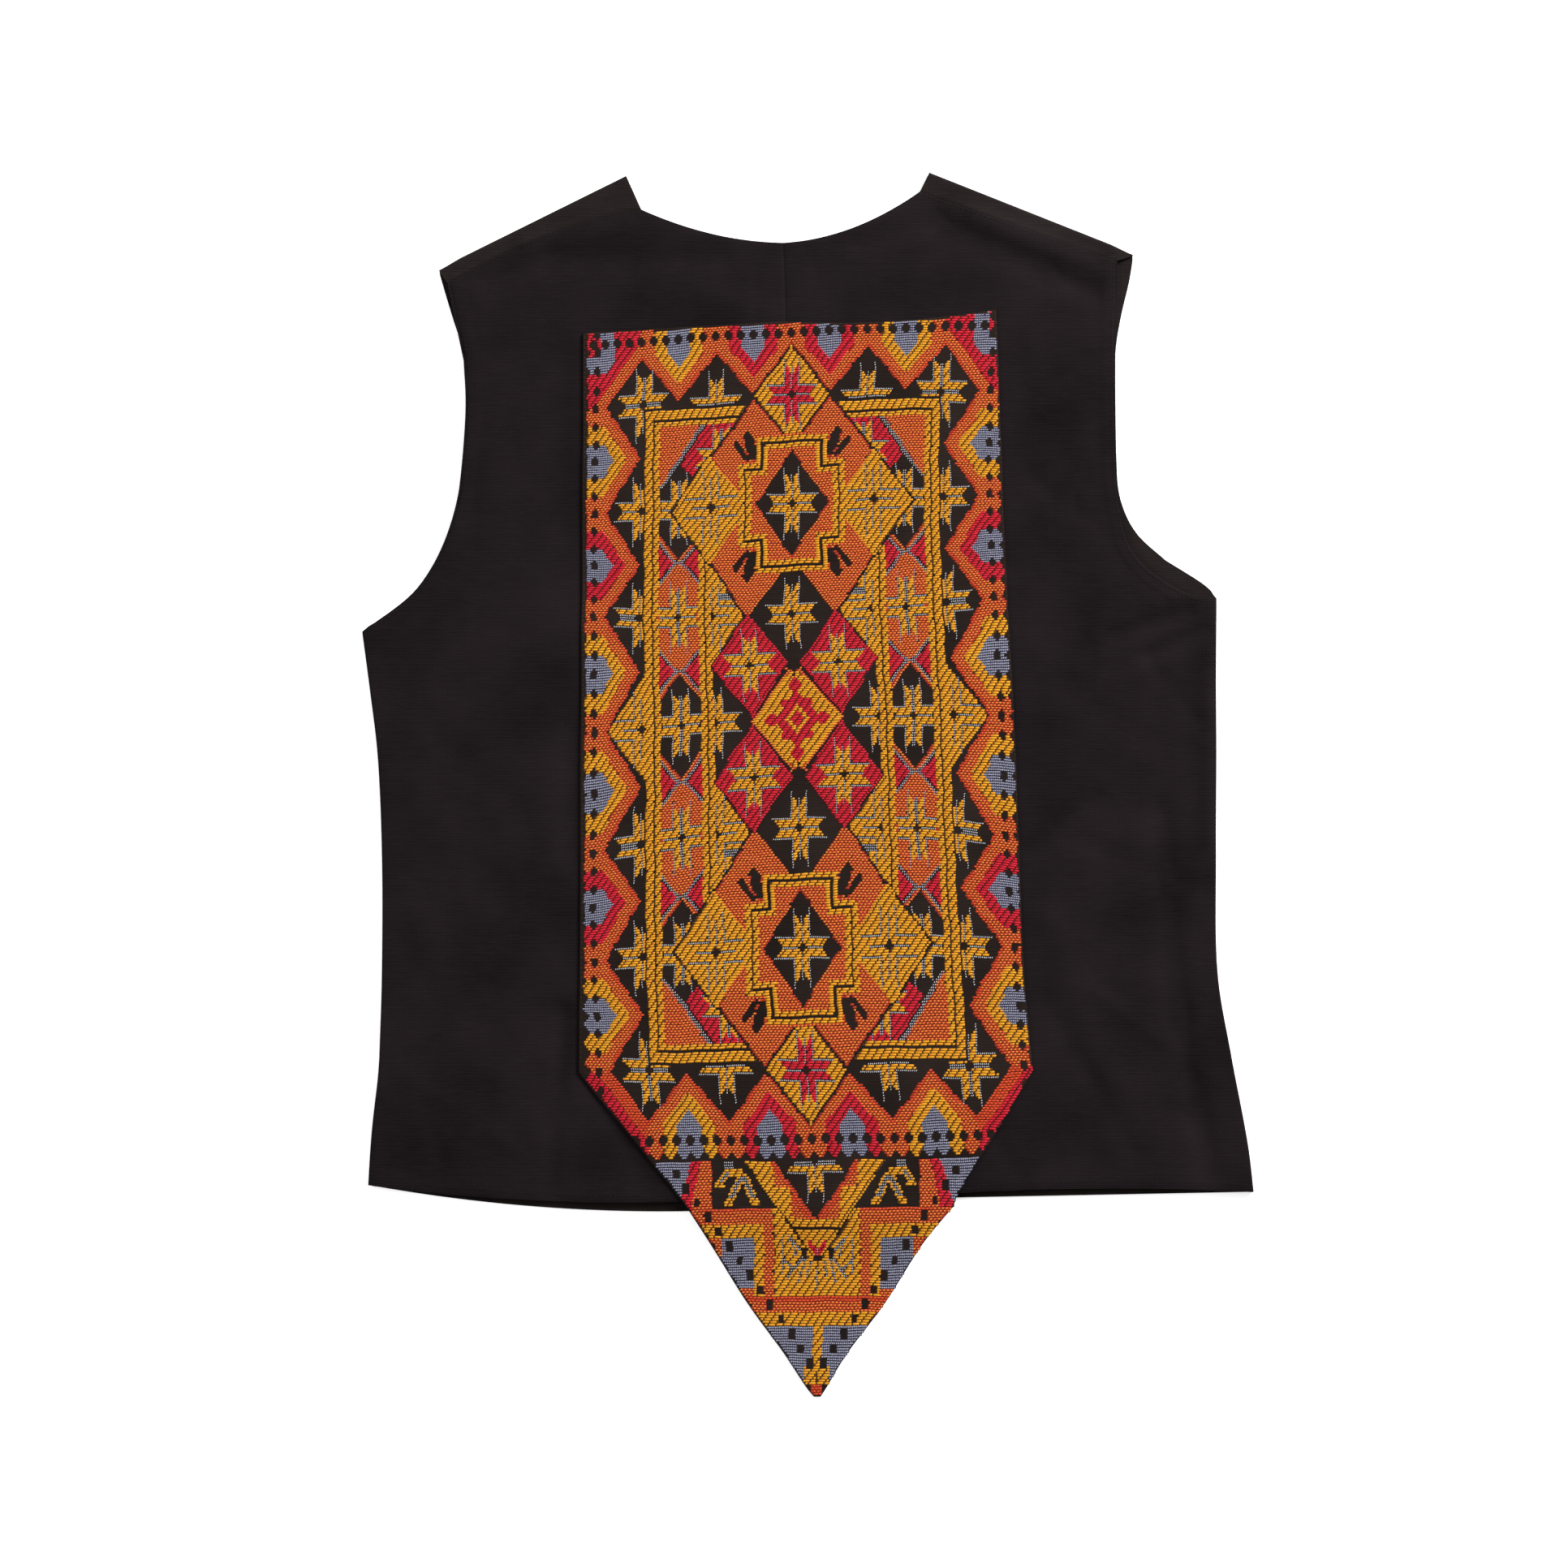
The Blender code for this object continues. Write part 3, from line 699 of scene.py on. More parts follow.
# The panel past the hem, from the hem's section to its blunt point
Tail = namedtuple("Tail", "steps left_x middle_x right_x y corner", defaults=(False,))

TAIL = (
    Tail(2, -58, 3, 68.2, -267.5),
    Tail(2, -37.3, 4, 47, -301),
    Tail(3, -13.5, 5, 22.5, -334),
    Tail(2, -1, 5.5, 11, -353),
    Tail(1, 3.5, 5.5, 7.5, -358.5, True),
)


def panel_level(x, y):
    """Height of the middle of the panel's wall: on the back, then down to the table past the hem."""
    hem = LEFT_BACK[0].mid_y
    level = lay(x, np.maximum(y, hem)) + PANEL_LIFT
    ease = soften(0.0, PANEL_DROP, hem - y)
    return level * (1 - ease) + PANEL_GROUND * ease


def panel_points():
    """The middle of the panel's wall, row by row from its top edge to its point."""
    left = back_sections(LEFT_BACK)
    right = back_sections(RIGHT_BACK)
    top = row_of(LEFT_BACK, PANEL_TOP_SECTION)
    plans = []
    for k in range(top, -1, -1):
        half = left[k][INNER_COLUMNS:0:-1]
        plans.append(np.vstack((half, right[k][: INNER_COLUMNS + 1])))
    hem = plans[-1]
    first = Tail(0, hem[0, 0], hem[INNER_COLUMNS, 0], hem[-1, 0], hem[INNER_COLUMNS, 1], True)
    table = (first, *TAIL)
    column = {field: curve_through(table, field) for field in Tail._fields[1:-1]}
    for k in range(1, len(column["y"])):
        left_end, middle, right_end = (
            (column[name][k], column["y"][k]) for name in ("left_x", "middle_x", "right_x")
        )
        half = across(left_end, middle, 0, INNER_COLUMNS)
        plans.append(np.vstack((half[:-1], across(middle, right_end, 0, INNER_COLUMNS))))
    return [np.column_stack((plan, panel_level(plan[:, 0], plan[:, 1]))) for plan in plans]


ground_cloth = cotton("panel_ground", (0.0066, 0.0044, 0.0037), (0.0270, 0.0180, 0.0150))
panel_rows = panel_points()
panel = sheet_of_cloth("woven_ground", panel_rows, PANEL_WALL, ground_cloth)
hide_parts("woven_panel")

# Woven pattern
# The pattern is laid in while the band is woven: coloured wefts pass over three warp threads and under
# one, so each shows as a row of short raised floats, and in the orange and blue parts over single threads.
# The chart counts warp threads from the middle and weft rows from the middle star diamond.
COLUMNS = np.arange(-120, 116)
ROWS = np.arange(-266, 177)
column, row = np.meshgrid(COLUMNS, ROWS)
side = np.abs(column)
level = np.abs(row)
BARE, GOLD, RED, ORANGE, EMBER, BLUE, SILVER = range(7)
chart = np.full(column.shape, BARE)


def fill(where, yarn):
    """Lays a yarn into part of the chart."""
    chart[where] = yarn


def diamond(c, r, half_c, half_r):
    """Share of the way from a diamond's middle to its edge, the same in all four quarters."""
    return np.abs(side - c) / half_c + np.abs(level - r) / half_r


def box(c, r, half_c, half_r):
    """A block of threads and rows, the same in all four quarters."""
    return (np.abs(side - c) <= half_c) & (np.abs(level - r) <= half_r)


def star(c, r, body, where=True, core=0.6, lines=SILVER):
    """An eight-pointed star of four split arms, with light lines along its middle and round its arms."""
    x, y = np.abs(side - c), np.abs(level - r)
    fill(where & (x > 3.8) & (x <= 4.8) & (y > 4) & (y <= 15.7), lines)
    fill(where & (y > 3.9) & (y <= 4.9) & (x > 3.8) & (x <= 14.2), lines)
    if body is not None:
        fill(where & (x <= 3.8) & (y <= 8.7 + 1.2 * x), body)
        fill(where & (y <= 3.9) & (x <= 9 + 1.3 * y), body)
    fill(where & (x <= 0.6) & (y <= 12), lines)
    fill(where & (y <= core) & (x <= 10), lines)
    fill(where & (x / 2.4 + y / 2.2 <= 1), BARE)


# Zigzag border: an orange band with tips towards the middle, and in each tip a second band and a blue heart
TIP_WIDTH = 42
TIP_HEIGHT = 46
BORDER_C = 84.5
BORDER_R = 138.5
BORDER_DEPTH = 19
across_tip = np.abs(side % TIP_WIDTH - TIP_WIDTH / 2)
along_tip = np.abs(level % TIP_HEIGHT - TIP_HEIGHT / 2)
at_end = (level >= BORDER_R - 1) & (side < BORDER_C)
at_side = (side >= BORDER_C - 1) & (level < BORDER_R)
at_corner = (side >= BORDER_C) & (level >= BORDER_R)
end_depth = level - BORDER_R - BORDER_DEPTH * across_tip / (TIP_WIDTH / 2)
side_depth = side - BORDER_C - BORDER_DEPTH * along_tip / (TIP_HEIGHT / 2)
corner_depth = (side - BORDER_C) + (level - BORDER_R) - BORDER_DEPTH
border_depth = np.where(at_end, end_depth, np.where(at_side, side_depth, corner_depth))
border_share = np.where(at_end, across_tip / 7, np.where(at_side, along_tip / 7.67, 0))
in_border = (at_end | at_side | at_corner) & (border_depth >= 0)
fill(in_border, ORANGE)
fill(in_border & (border_depth < 1.7), EMBER)
second = in_border & (border_share < 2) & (border_depth > 7.5)
red_tip = (at_end & (side < TIP_WIDTH)) | (at_side & (np.abs(level - 69) < 23)) | at_corner
fill(second, GOLD)
fill(second & red_tip, RED)
fill(in_border & (border_share < 1) & (border_depth > 14.3), BLUE)
fill(at_corner & (side > 107) & (level > 159), RED)
fill(at_corner & (border_depth > 7.5) & ((side < 100) | (level < 153)), RED)
fill(at_corner & (row < 0) & (chart == ORANGE), EMBER)

# Black spots where the bands cross, and past them the lobes in which the bands end
for k in range(17):
    fill(box(7 * k, 164.3, 1.2, 2.0) | box(7 * k, 164.3, 2.2, 1.1), BARE)
    fill((level > 168.4) & (np.abs(side - 7 * k) < 0.95 * (level - 168.4)) & (side < 112), BARE)
for k in range(23):
    fill(box(109.5, 7.67 * k, 1.2, 2.0) | box(109.5, 7.67 * k, 2.2, 1.1), BARE)
    fill((side > 113.2) & (np.abs(level - 7.67 * k) < side - 113.2) & (level < 168), BARE)
    fill(box(116.5, 7.67 * k, 1.5, 1.6), BARE)

# Stars in the black triangles between border and frame
triangles = ((side > 82) | (level > 135.5)) & ~in_border
star(82.6, 137.5, GOLD, triangles)
star(42, 134.5, GOLD, triangles & (level > 134), core=1.6)
star(84, 46, GOLD, triangles & (side > 82.5), core=1.6)
star(84, 92, GOLD, triangles & (side > 82.5))
middle_gap = (side > 81) & (level < 23) & (border_depth < 0)
fill(middle_gap & (side - 82 < 20 * (1 - level / 21)), GOLD)
star(84, 0, None, middle_gap)

# Frame: two gold lines with a black one between them
frame_edge = np.maximum(side - 81.5, level - 134.5)
fill(frame_edge <= 0, GOLD)
fill((side <= 77.5) & (level <= 130.8), BARE)
fill((side <= 76.4) & (level <= 129.8), GOLD)
inside = (side <= 73) & (level <= 127.5)
fill(inside, BARE)

# Side columns: six-sided black and orange medals in turn, with crossed grey lines and red between them
MEDAL_C = 62.5
MEDAL_HALF = 23
in_column = inside & (side > 51.5)
medal = np.round(level / TIP_HEIGHT)
medal_edge = MEDAL_HALF - np.abs(level - TIP_HEIGHT * medal) - 0.95 * np.abs(side - MEDAL_C)
fill(in_column, RED)
for edge, yarn in ((-3.2, BARE), (-2.4, SILVER), (-0.4, ORANGE), (1.4, BARE)):
    fill(in_column & (medal_edge > edge), yarn)
fill(in_column & (medal_edge > 1.4) & (medal == 1), ORANGE)
for k in (0, 1, 2):
    star(MEDAL_C, TIP_HEIGHT * k, GOLD, in_column)

# Double gold lines inside the columns
lines = (side <= 51.5) & (side > 44) & (level < 75)
fill(lines, GOLD)
fill(lines & (np.abs(side - 48) < 0.6), BARE)

# Corners: an orange corner, a grey diagonal, and part of a red star diamond
corner = inside & (side > 27) & (level > 92)
slant = (side - 52) * 25 / 22 + (level - 126)
upper = corner & (level > 111.5 - 0.8 * (MEDAL_C - side)) & (side < MEDAL_C)
fill(upper, RED)
star(39.5, 113, GOLD, upper)
over = corner & (slant > -4) & (level > 101 + 0.75 * (73 - side))
fill(over, BARE)
fill(over & (slant > -2.8), SILVER)
fill(over & (slant > 0.3), ORANGE)

# Large diamonds at both ends of the frame
LARGE_R = 92
large = np.where(level < LARGE_R, diamond(0, LARGE_R, 65.5, 78), diamond(0, LARGE_R, 67, 68))
large_inside = (side <= 76) & (level <= 160)
large_inside &= (level < 130) | (border_depth < 0)
fill((large <= 1) & large_inside, BARE)
fill((large <= 0.972) & large_inside, ORANGE)

# Leaves in the orange, in pairs
for r in (LARGE_R - 25, LARGE_R + 25):
    outward = 1 if r > LARGE_R else -1
    below_leaf = (level - r) * outward
    for c, r_leaf, lean, half_c, half_r in ((27.8, -1.8, 0.8, 2.9, 4.9), (23.2, 0.5, 0.3, 3.1, 6.8)):
        dx, dy = side - c, below_leaf - r_leaf
        fill(np.abs(dx - lean * dy) <= half_c * (1 - (dy / half_r) ** 4), BARE)
    slit = np.abs(side - 25.6 - 0.7 * (below_leaf + 2))
    fill((slit < 0.6) & (np.abs(below_leaf + 1) < 3.2), ORANGE)

# Gold star diamonds on the points of the large diamonds
side_diamond = diamond(45.5, 91, 21.3, 22.8) <= 1
fill((diamond(45.5, 91, 22.8, 24.4) <= 1) & (side > 45.5), BARE)
fill(side_diamond, GOLD)
star(45, 92, None, side_diamond)

# Stepped frame in the middle of each large diamond
for grow, yarn in ((3, GOLD), (0.5, BARE), (-0.6, GOLD), (-3.2, ORANGE)):
    fill(box(0, LARGE_R, 16.5 + grow, 26 + grow * 0.9) | box(0, LARGE_R, 26 + grow, 15 + grow * 0.9), yarn)
heart = diamond(0, LARGE_R, 20.5, 22.5) <= 1
fill(heart, BARE)
star(0, LARGE_R, GOLD, heart)

# Gold diamonds with a red star at both ends
end_diamond = (diamond(0, 138, 20.5, 21) <= 1) & (level > 121)
fill((diamond(0, 138, 22, 22.5) <= 1) & (level > 121), BARE)
fill(end_diamond, GOLD)
star(0, 138, RED, end_diamond)

# Middle field: gold and black half diamonds, black, red and gold star diamonds
field = (side <= 44) & (level < 72)
red_edge = diamond(24, 24.3, 20.7, 22.4)
half_gold = field & (side > 27.5) & (level > 24) & (large > 1) & (red_edge > 1.07)
fill(half_gold, GOLD)
star(44, 46, None, half_gold)
fill(half_gold & box(36, 54.4, 3.8, 1.4), SILVER)
half_black = field & (side - 24 >= level * 20 / 22)
fill(half_black, BARE)
star(44, 0, GOLD, half_black)
fill((diamond(0, 46, 23.5, 24) <= 1) & (level < LARGE_R - 28.7), BARE)
star(0, 46, GOLD)
fill(red_edge <= 1.05, BARE)
fill(red_edge <= 1, RED)
star(24, 24.3, GOLD, red_edge <= 1)
for half_c, half_r, yarn in ((25.6, 25.0, BARE), (24.7, 24.2, ORANGE), (23.4, 22.9, GOLD)):
    fill(diamond(0, 0, half_c, half_r) <= 1, yarn)
fill(diamond(0, 23, 3, 4) <= 1, BARE)
knot = box(0, 0, 1.6, 13) | box(0, 0, 13, 0.8) | box(6.2, 7.2, 1.8, 1.4)
for c, r, half_c, half_r in ((0, 0, 12.5, 12), (0, 14.5, 3.8, 3.6), (13.5, 0, 3.8, 3.4)):
    knot |= diamond(c, r, half_c, half_r) <= 1
fill(knot, RED)
fill(diamond(0, 0, 6, 6.3) <= 1, GOLD)
fill(diamond(0, 0, 3.3, 3.8) <= 1, RED)

# Lower end, folded to a point: a black triangle with half a star in an orange and gold V
TAIL_END = 200
below = -172 - row
tail = below > 0
fill(tail, BARE)
v_edge = 36.7 - 0.955 * below
fill(tail & (side < v_edge), GOLD)
v_inner = np.where(below < 10.5, 22.3 - 0.12 * below, 14.4 - 0.11 * below)
inner = tail & (side < v_inner) & (below < 23)
fill(inner, ORANGE)
fill(inner & (side / 25.5 + below / 26.5 <= 1), EMBER)
triangle = tail & (side / 21.8 + below / 22.9 <= 1)
fill(triangle, BARE)
star(0, 172.5, GOLD, triangle, core=1.6)


def bar(yarn, low, high=TAIL_END, near=0, far=TAIL_END, where=tail):
    """A bar on the tail: from and to how far below its top, and from and to how far out from its middle."""
    fill(where & (below >= low) & (below < high) & (side >= near) & (side < far), yarn)


bar(BARE, 26, 27, 0, 12)
fill(tail & (np.abs(below - 32 - (4 - side) * 1.2) < 1.6) & (side <= 4), RED)
bar(SILVER, 34, 38, 0, 1)

# Black squares with a fir tree on each, and the coloured bars past them
outside_v = tail & (side >= v_edge + 1.3)
square = outside_v & (side < 53.2) & (below < 18.3)
fill(square, BARE)
outer_arm = np.abs(side - 44 - 1.08 * (below - 4))
bar(GOLD, 4, 10, where=square & (outer_arm < 2.2))
bar(SILVER, 5, 9, where=square & (outer_arm < 1.2))
fill(square & box(49, 182, 2.2, 0.6), GOLD)
legs = np.abs(np.abs(side - 37.6) - 0.62 * (below - 5.5))
bar(GOLD, 4, 7, 38, 45, square)
bar(GOLD, 6, 17.5, where=square & (legs < 2.1))
bar(SILVER, 7, 15, where=square & (legs < 1.35))
bar(SILVER, 0, 3.4, 42, 47, square)
bar(ORANGE, 0, 18.3, 53.2)
bar(RED, 0, 18.3, 58.6 + 0.3 * below)
bar(BLUE, 0, 18.3, 63.4 + 0.42 * below)
bar(ORANGE, 18.3, 51.5, where=outside_v)
bar(EMBER, 18.3, 20, 0, 59.2, outside_v)
bar(GOLD, 24.4, 29.3, 27.5, where=outside_v)
bar(GOLD, 24.4, 51.5, 27.5, 32.5, outside_v)
bar(BLUE, 30, 49, 32.5, 50)

# Gold block with rays of light threads, and dark ticks at its sides
bar(GOLD, 18.6, 51.2, 0, 22.5, outside_v)
bar(BARE, 18.6, 51.2, 21.4, 22.5, outside_v & (below % 3.5 < 1.2))
bar(BARE, 34, 38, 6, 9)
bar(BARE, 37, 39, 0, 2.2)
RAYS = (
    (9.5, 34, 15.5, 28.5), (18, 30, 18, 43), (8, 37.5, 15, 44.5), (11.5, 36, 13.5, 31),
    (6.5, 38, 9.5, 46), (3.5, 39, 5, 44), (0, 41, 0, 49), (18, 38, 13, 41),
)
for side_1, below_1, side_2, below_2 in RAYS:
    run = np.array((side_2 - side_1, below_2 - below_1))
    share = ((side - side_1) * run[0] + (below - below_1) * run[1]) / (run @ run)
    share = np.clip(share, 0, 1)
    gap = np.hypot(side - side_1 - share * run[0], below - below_1 - share * run[1])
    fill(tail & (gap < 0.62), SILVER)

# Bars of the point
bar(ORANGE, 52, 58)
bar(EMBER, 52, 54)
bar(GOLD, 58, 62.8)
bar(BLUE, 62.8)
bar(GOLD, 62.8, far=2.4)
bar(GOLD, 78, far=7)
bar(BARE, 80, 84, far=1)
bar(BARE, 84.5)
bar(EMBER, 84.5, far=2.7)
for k in range(-3, 11):
    fill(tail & (np.abs(side - 55.8 + 5.25 * k) < 1.8) & (np.abs(below - 21.5 - 5.52 * k) < 1.7), BARE)

# Where the chart lies: a warp thread left and right of the middle and the middle itself, at some weft rows
GUIDE_THREADS = 84
Guide = namedtuple("Guide", "row left_x left_y middle_x middle_y right_x right_y")

GUIDES = [Guide(*row) for row in (
    (-261, -89, -358.5, 5, -358.5, 100, -358.5), (-217, -90, -289.5, 5.5, -289.5, 100.5, -289.5),
    (-172, -92, -220, 3.5, -219, 100, -217), (-138, -94.5, -168, -1, -167, 96, -165),
    (-92, -97, -101, -3.5, -95.5, 91.5, -94.5), (-46, -97.5, -35, -5, -25.5, 87.5, -27),
    (0, -97.5, 32.5, -6.5, 38.5, 85, 40.5), (46, -98.5, 97.5, -9.5, 100, 81, 106.5),
    (92, -98, 159.5, -9.5, 164.5, 79, 168.5), (138, -97.5, 222, -9.5, 228, 79.5, 230.5),
    (169, -97, 265, -10, 270.5, 80.5, 274),
)]


def smooth_through(at, knots, values):
    """A smooth curve through values at knots, run straight on past both ends."""
    knots, values = np.array(knots, float), np.array(values, float)
    slopes = np.gradient(values, knots)
    k = np.clip(np.searchsorted(knots, at) - 1, 0, len(knots) - 2)
    span = knots[k + 1] - knots[k]
    t = (at - knots[k]) / span
    inside = np.clip(t, 0, 1)
    curve = cubic_curve(inside, span, values[k], values[k + 1], slopes[k], slopes[k + 1])
    return curve + (t - inside) * span * np.where(t > 1, slopes[k + 1], slopes[k])


def plan_of(thread, weft):
    """Where a place of the chart lies on the vest, in millimetres."""
    knots = [guide.row for guide in GUIDES]
    share = thread / GUIDE_THREADS
    found = []
    for axis in "xy":
        left, middle, right = (
            smooth_through(weft, knots, [getattr(guide, f"{name}_{axis}") for guide in GUIDES])
            for name in ("left", "middle", "right")
        )
        sides = left * share * (share - 1) / 2 + middle * (1 - share**2)
        found.append(sides + right * share * (share + 1) / 2)
    # No hand-woven band is quite even
    found[0] = found[0] + 0.28 * np.sin(0.21 * weft + 0.9) + 0.22 * np.sin(0.47 * weft + 0.05 * thread)
    found[1] = found[1] + 0.30 * np.sin(0.09 * thread + 0.11 * weft) + 0.18 * np.sin(0.31 * thread)
    return found


# The pattern stops a little inside the band's edges
LEFT_MARGIN = 2.6
RIGHT_MARGIN = 1.2
outline = np.array([(row[0][0], row[-1][0], row[0][1], row[-1][1]) for row in panel_rows])[::-1]
top_edge = np.array(panel_rows[0])


def on_panel(x, y):
    """Whether a place is on the patterned part of the band."""
    left = np.interp(y, outline[:, 2], outline[:, 0])
    right = np.interp(y, outline[:, 3], outline[:, 1])
    top = np.interp(x, top_edge[:, 0], top_edge[:, 1])
    wide = np.where(y > LEFT_BACK[PANEL_CORNER_SECTION].mid_y, 1.0, 0.5)
    between_sides = (x > left + LEFT_MARGIN * wide) & (x < right - RIGHT_MARGIN * wide)
    return between_sides & (y < top - 1) & (y > outline[0, 2] + 1)


x, y = plan_of(column.astype(float), row.astype(float))
fill(~on_panel(x, y), BARE)

# A float is a low hump: where its corners are along it, from its start at 0 to its end at 1, how far they
# move in from there in threads, where they are across it in rows, and how high they are. Then come its
# faces and how many of them, from the first, are its underside.
Hump = namedtuple("Hump", "ends inset rows lift faces under")
LONG_FORM = (
    (0, 0, 1, 1, 1, 0, 0, 1, 1, 0),
    (0.0, 0.16, -0.16, 0.0, -0.16, 0.16, 0.36, -0.36, -0.32, 0.32),
    (-0.1, -1, -1, 0.1, 1, 1, -0.35, -0.35, 0.5, 0.5),
    (0, 0, 0, 0, 0, 0, 1, 1, 1, 1),
    (
        (0, 5, 4), (0, 4, 3), (0, 3, 2), (0, 2, 1),
        (0, 1, 6), (1, 2, 7), (1, 7, 6), (2, 3, 7), (3, 8, 7), (3, 4, 8),
        (4, 5, 9), (4, 9, 8), (5, 0, 9), (0, 6, 9), (6, 7, 8), (6, 8, 9),
    ),
)
SPOT_FORM = (
    (0, 1, 1, 0, 0, 1, 1, 0),
    (0.0, 0.0, 0.0, 0.0, 0.2, -0.2, -0.2, 0.2),
    (-1, -1, 1, 1, -0.5, -0.5, 0.5, 0.5),
    (0, 0, 0, 0, 1, 1, 1, 1),
    (
        (0, 2, 1), (0, 3, 2), (0, 1, 5), (0, 5, 4), (1, 2, 6), (1, 6, 5),
        (2, 3, 7), (2, 7, 6), (3, 0, 4), (3, 4, 7), (4, 5, 6), (4, 6, 7),
    ),
)
LONG = Hump(*map(np.array, LONG_FORM), 4)
SPOT = Hump(*map(np.array, SPOT_FORM), 2)
FLOAT_LEAN = 0.16
TWIST_PITCH = 0.42
TWIST_TURN = 32
BAKE_CORNER = (-140, -362)
BAKE_SPAN = (290, 640)
BAKE_SHARE = 0.97
UNDER_SHARE = 0.02
UNDER_CORNER = 0.975
chance = np.random.RandomState(11)
row_shift = chance.uniform(-0.16, 0.16, len(ROWS))
row_dye = np.convolve(chance.uniform(0.0, 0.6, len(ROWS) + 4), (0.1, 0.2, 0.4, 0.2, 0.1), "valid")


def runs_of(where):
    """Each run of marked places along a row: its row, its start and its end."""
    change = np.diff(np.pad(where, ((0, 0), (1, 1))).astype(int), axis=1)
    starts, ends = np.argwhere(change == 1), np.argwhere(change == -1)
    return starts[:, 0], starts[:, 1], ends[:, 1]


def parted(where, longest):
    """A yarn's places, less the threads that it passes under where a run is longer than a single float."""
    parts = where.copy()
    for weft, start, end in zip(*runs_of(where)):
        if end - start > longest:
            parts[weft, start:end] &= ~passes_under[weft, start:end]
    return parts


def floats(name, runs, hump, finish, longer, half, bottom, rise):
    """All floats of one yarn as one mesh, each with its own shade of dye. Lengths are in threads and rows."""
    weft, start, end = runs
    shift = row_shift[weft]
    weft = ROWS[weft]
    start = COLUMNS[start] - 0.5 - longer + shift
    end = COLUMNS[end - 1] + 0.5 + longer + shift
    count = len(weft)
    weft = weft + chance.uniform(-0.05, 0.05, count)
    start = start + chance.uniform(-0.06, 0.06, count)
    end = end + chance.uniform(-0.06, 0.06, count)
    height = rise * chance.uniform(0.88, 1.1, count)
    dye = chance.uniform(0.0, 0.7, count) + row_dye[runs[0]]
    offset = hump.rows * half
    thread = np.where(hump.ends == 1, end[:, None], start[:, None]) + hump.inset + offset * FLOAT_LEAN / half
    x, y = plan_of(thread, weft[:, None] + offset)
    z = panel_level(x, y) + PANEL_WALL / 2 + np.where(hump.lift == 1, height[:, None], bottom)
    size = len(hump.ends)
    points = np.stack((x, y, z), axis=-1).reshape(-1, 3)
    piece, corners = many_as_one(name, points, size, hump.faces, finish)
    mesh = piece.data
    mesh.polygons.foreach_set("use_smooth", np.tile(np.arange(len(hump.faces)) >= hump.under, count))
    # The crown runs from 0 at a float's foot to 1 at its top, and the yarn paints shade at the foot by it
    for label, values in (("dye", np.repeat(dye, size)), ("crown", np.tile(hump.lift, count))):
        shade = mesh.attributes.new(label, "FLOAT", "POINT")
        shade.data.foreach_set("value", values.astype(np.float32))
    # The colours are laid out as the band lies, with the hidden undersides in a corner
    flat = (points[:, :2] - BAKE_CORNER) / BAKE_SPAN
    flat = flat[corners.reshape(-1)].reshape(count, len(hump.faces), 3, 2) * BAKE_SHARE
    flat[:, : hump.under] = flat[:, : hump.under] * UNDER_SHARE + UNDER_CORNER
    mesh.uv_layers.new(name="OFBake").data.foreach_set("uv", flat.reshape(-1))
    return piece


def yarn(name, shadow, dark, light):
    """Soft twisted cotton yarn, dyed a little unevenly, with painted shade where it dips between the warp
    threads.
    """
    finish, tree, shader, place = new_finish(name, 0.85, 0.2)
    dye, crown = (tree.nodes.new("ShaderNodeAttribute") for _ in range(2))
    dye.attribute_name = "dye"
    crown.attribute_name = "crown"
    turned = add_node(tree, "ShaderNodeMapping", Vector=place, Rotation=(0, 0, math.radians(TWIST_TURN)))
    twist = threads(tree, turned.outputs["Vector"], "X", TWIST_PITCH, 1.2)
    fuzz = noise(tree, place, 0.25, 2.0)
    share = total(tree, (dye.outputs["Fac"], 0.6), (fuzz, 0.3), (twist, 0.2))
    body = between(tree, share, dark, light)
    # Painted shade: from the shadow colour at the float's foot to the dyed yarn at its crown
    mixed = between(tree, maths(tree, "POWER", crown.outputs["Fac"], 0.7), shadow, light)
    tree.links.new(body, mixed.node.inputs["B"])
    tree.links.new(mixed, shader.inputs["Base Color"])
    raise_by(tree, shader, total(tree, (twist, 0.6), (fuzz, 0.4)), 0.08)
    return finish


passes_under = (column - row) % 4 == 0
even = (column + row) % 2 == 0
SINGLE = 2
RIDGE = 7


def singles(where):
    """Each marked place as a run of its own."""
    weft, start = np.nonzero(where)
    return weft, start, start + 1


def ridges(where):
    """Runs broken every few threads."""
    return runs_of(where & ((column + 3 * row) % RIDGE != 0))


# Each yarn's colours: its painted shade where it dips between the warp threads, and its darkest and lightest
# dye
DYES = {
    "gold": ((0.34, 0.112, 0.004), (0.55, 0.212, 0.008), (0.73, 0.33, 0.016)),
    # Darkened copies of the gold and the red: painted shade for the beds under their floats
    "bronze": ((0.030, 0.013, 0.003), (0.070, 0.028, 0.004), (0.11, 0.045, 0.006)),
    "wine": ((0.03, 0.002, 0.003), (0.075, 0.004, 0.006), (0.12, 0.006, 0.009)),
    "red": ((0.26, 0.003, 0.008), (0.42, 0.007, 0.017), (0.58, 0.014, 0.032)),
    "rust": ((0.22, 0.014, 0.004), (0.32, 0.024, 0.008), (0.42, 0.039, 0.013)),
    "amber": ((0.40, 0.075, 0.009), (0.60, 0.18, 0.024), (0.78, 0.30, 0.042)),
    "ember": ((0.42, 0.03, 0.008), (0.62, 0.060, 0.016), (0.78, 0.12, 0.024)),
    "navy": ((0.018, 0.018, 0.034), (0.050, 0.050, 0.085), (0.085, 0.085, 0.14)),
    "pale": ((0.09, 0.09, 0.14), (0.29, 0.29, 0.38), (0.46, 0.46, 0.55)),
    "silver": ((0.10, 0.10, 0.12), (0.42, 0.42, 0.46), (0.66, 0.66, 0.70)),
}
YARNS = {name: yarn(name + "_yarn", *colours) for name, colours in DYES.items()}

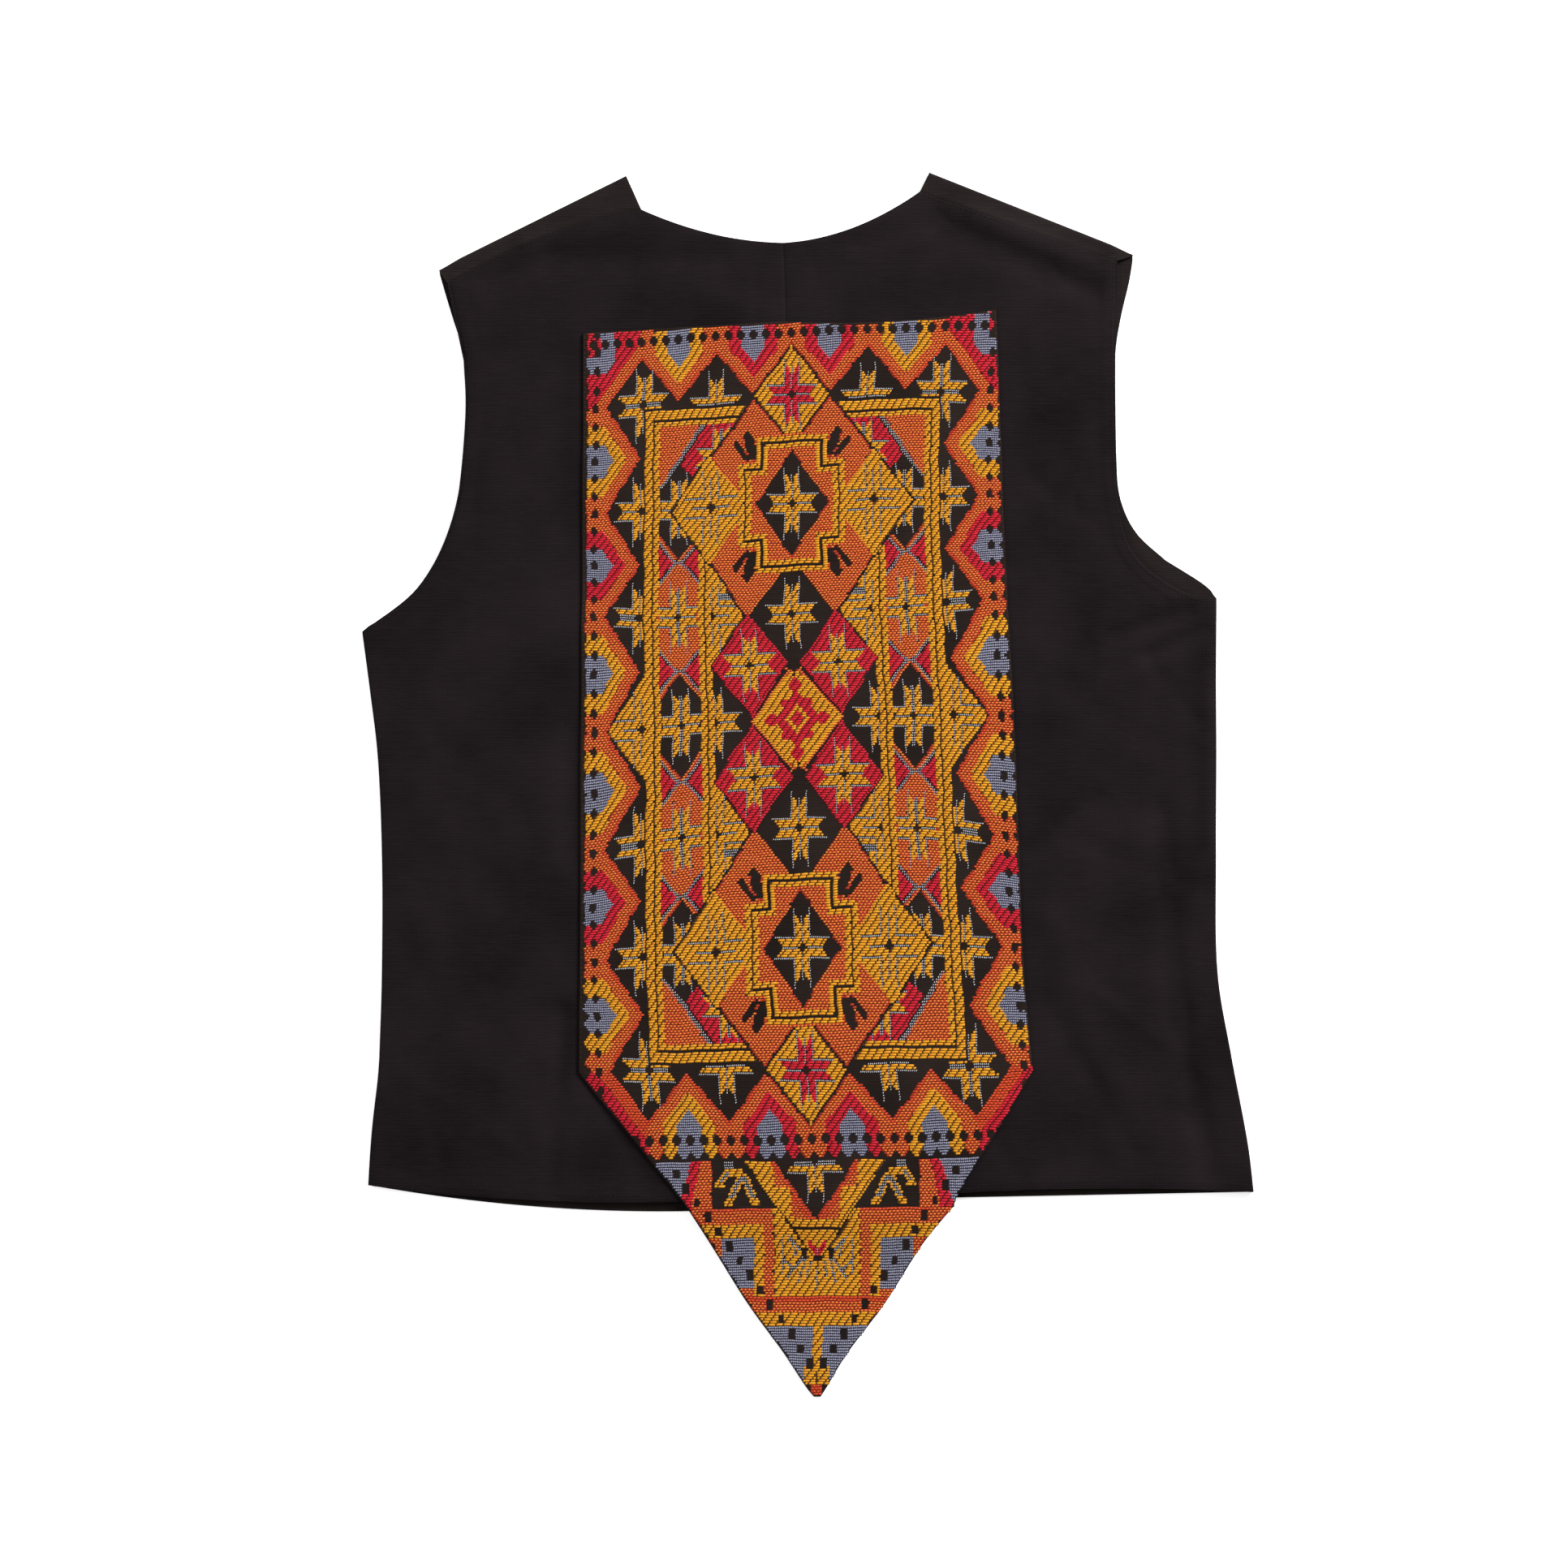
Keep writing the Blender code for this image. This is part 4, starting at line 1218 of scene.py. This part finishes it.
# Each piece: its places, its form, its yarn, how much longer than its threads it is, half its width in
# rows, and how far its foot and its crown lie above the ground
WEFTS = [
    # The beds are low ridges under the gold and red floats, in painted shade where the floats dip between the
    # warp threads
    ("gold_bed", ridges(chart == GOLD), LONG, "bronze", 0.55, 0.5, -0.05, 0.14),
    ("gold_floats", runs_of(parted(chart == GOLD, SINGLE)), LONG, "gold", 0.26, 0.53, -0.05, 0.42),
    ("red_bed", ridges(chart == RED), LONG, "wine", 0.55, 0.5, -0.05, 0.14),
    ("red_floats", runs_of(parted(chart == RED, SINGLE)), LONG, "red", 0.27, 0.53, -0.05, 0.42),
    ("rust_ridges", ridges((chart == ORANGE) | (chart == EMBER)), LONG, "rust", 0.55, 0.54, -0.05, 0.24),
    ("amber_spots", singles((chart == ORANGE) & even), SPOT, "amber", 0.02, 0.38, 0.05, 0.40),
    ("ember_spots", singles((chart == EMBER) & even), SPOT, "ember", 0.02, 0.38, 0.05, 0.40),
    ("navy_ridges", ridges(chart == BLUE), LONG, "navy", 0.55, 0.5, -0.05, 0.20),
    ("pale_spots", singles(chart == BLUE), SPOT, "pale", -0.14, 0.34, 0.05, 0.36),
    ("silver_spots", singles(chart == SILVER), SPOT, "silver", -0.2, 0.32, -0.05, 0.36),
]
woven = [floats(name, runs, hump, YARNS[dyed], *sizes) for name, runs, hump, dyed, *sizes in WEFTS]

# Brown stitches that hold the turned edges, along both sides and the top
brown_thread = cotton("brown_thread", (0.020, 0.011, 0.006), (0.075, 0.045, 0.026))
EDGE_INSET = 1.1


def panel_top(x, y):
    """Height of the panel's upper side."""
    return panel_level(x, y) + PANEL_WALL / 2


sewn = panel_rows[: row_of(LEFT_BACK, PANEL_TOP_SECTION) - row_of(LEFT_BACK, PANEL_CORNER_SECTION)]
panel_thread = stitches(
    "stitches_panel",
    (
        [(row[0][0] + EDGE_INSET, row[0][1]) for row in sewn],
        [(row[-1][0] - EDGE_INSET / 2, row[-1][1]) for row in sewn],
        [(point[0], point[1] - EDGE_INSET / 2) for point in panel_rows[0]],
    ),
    panel_top,
    brown_thread,
)
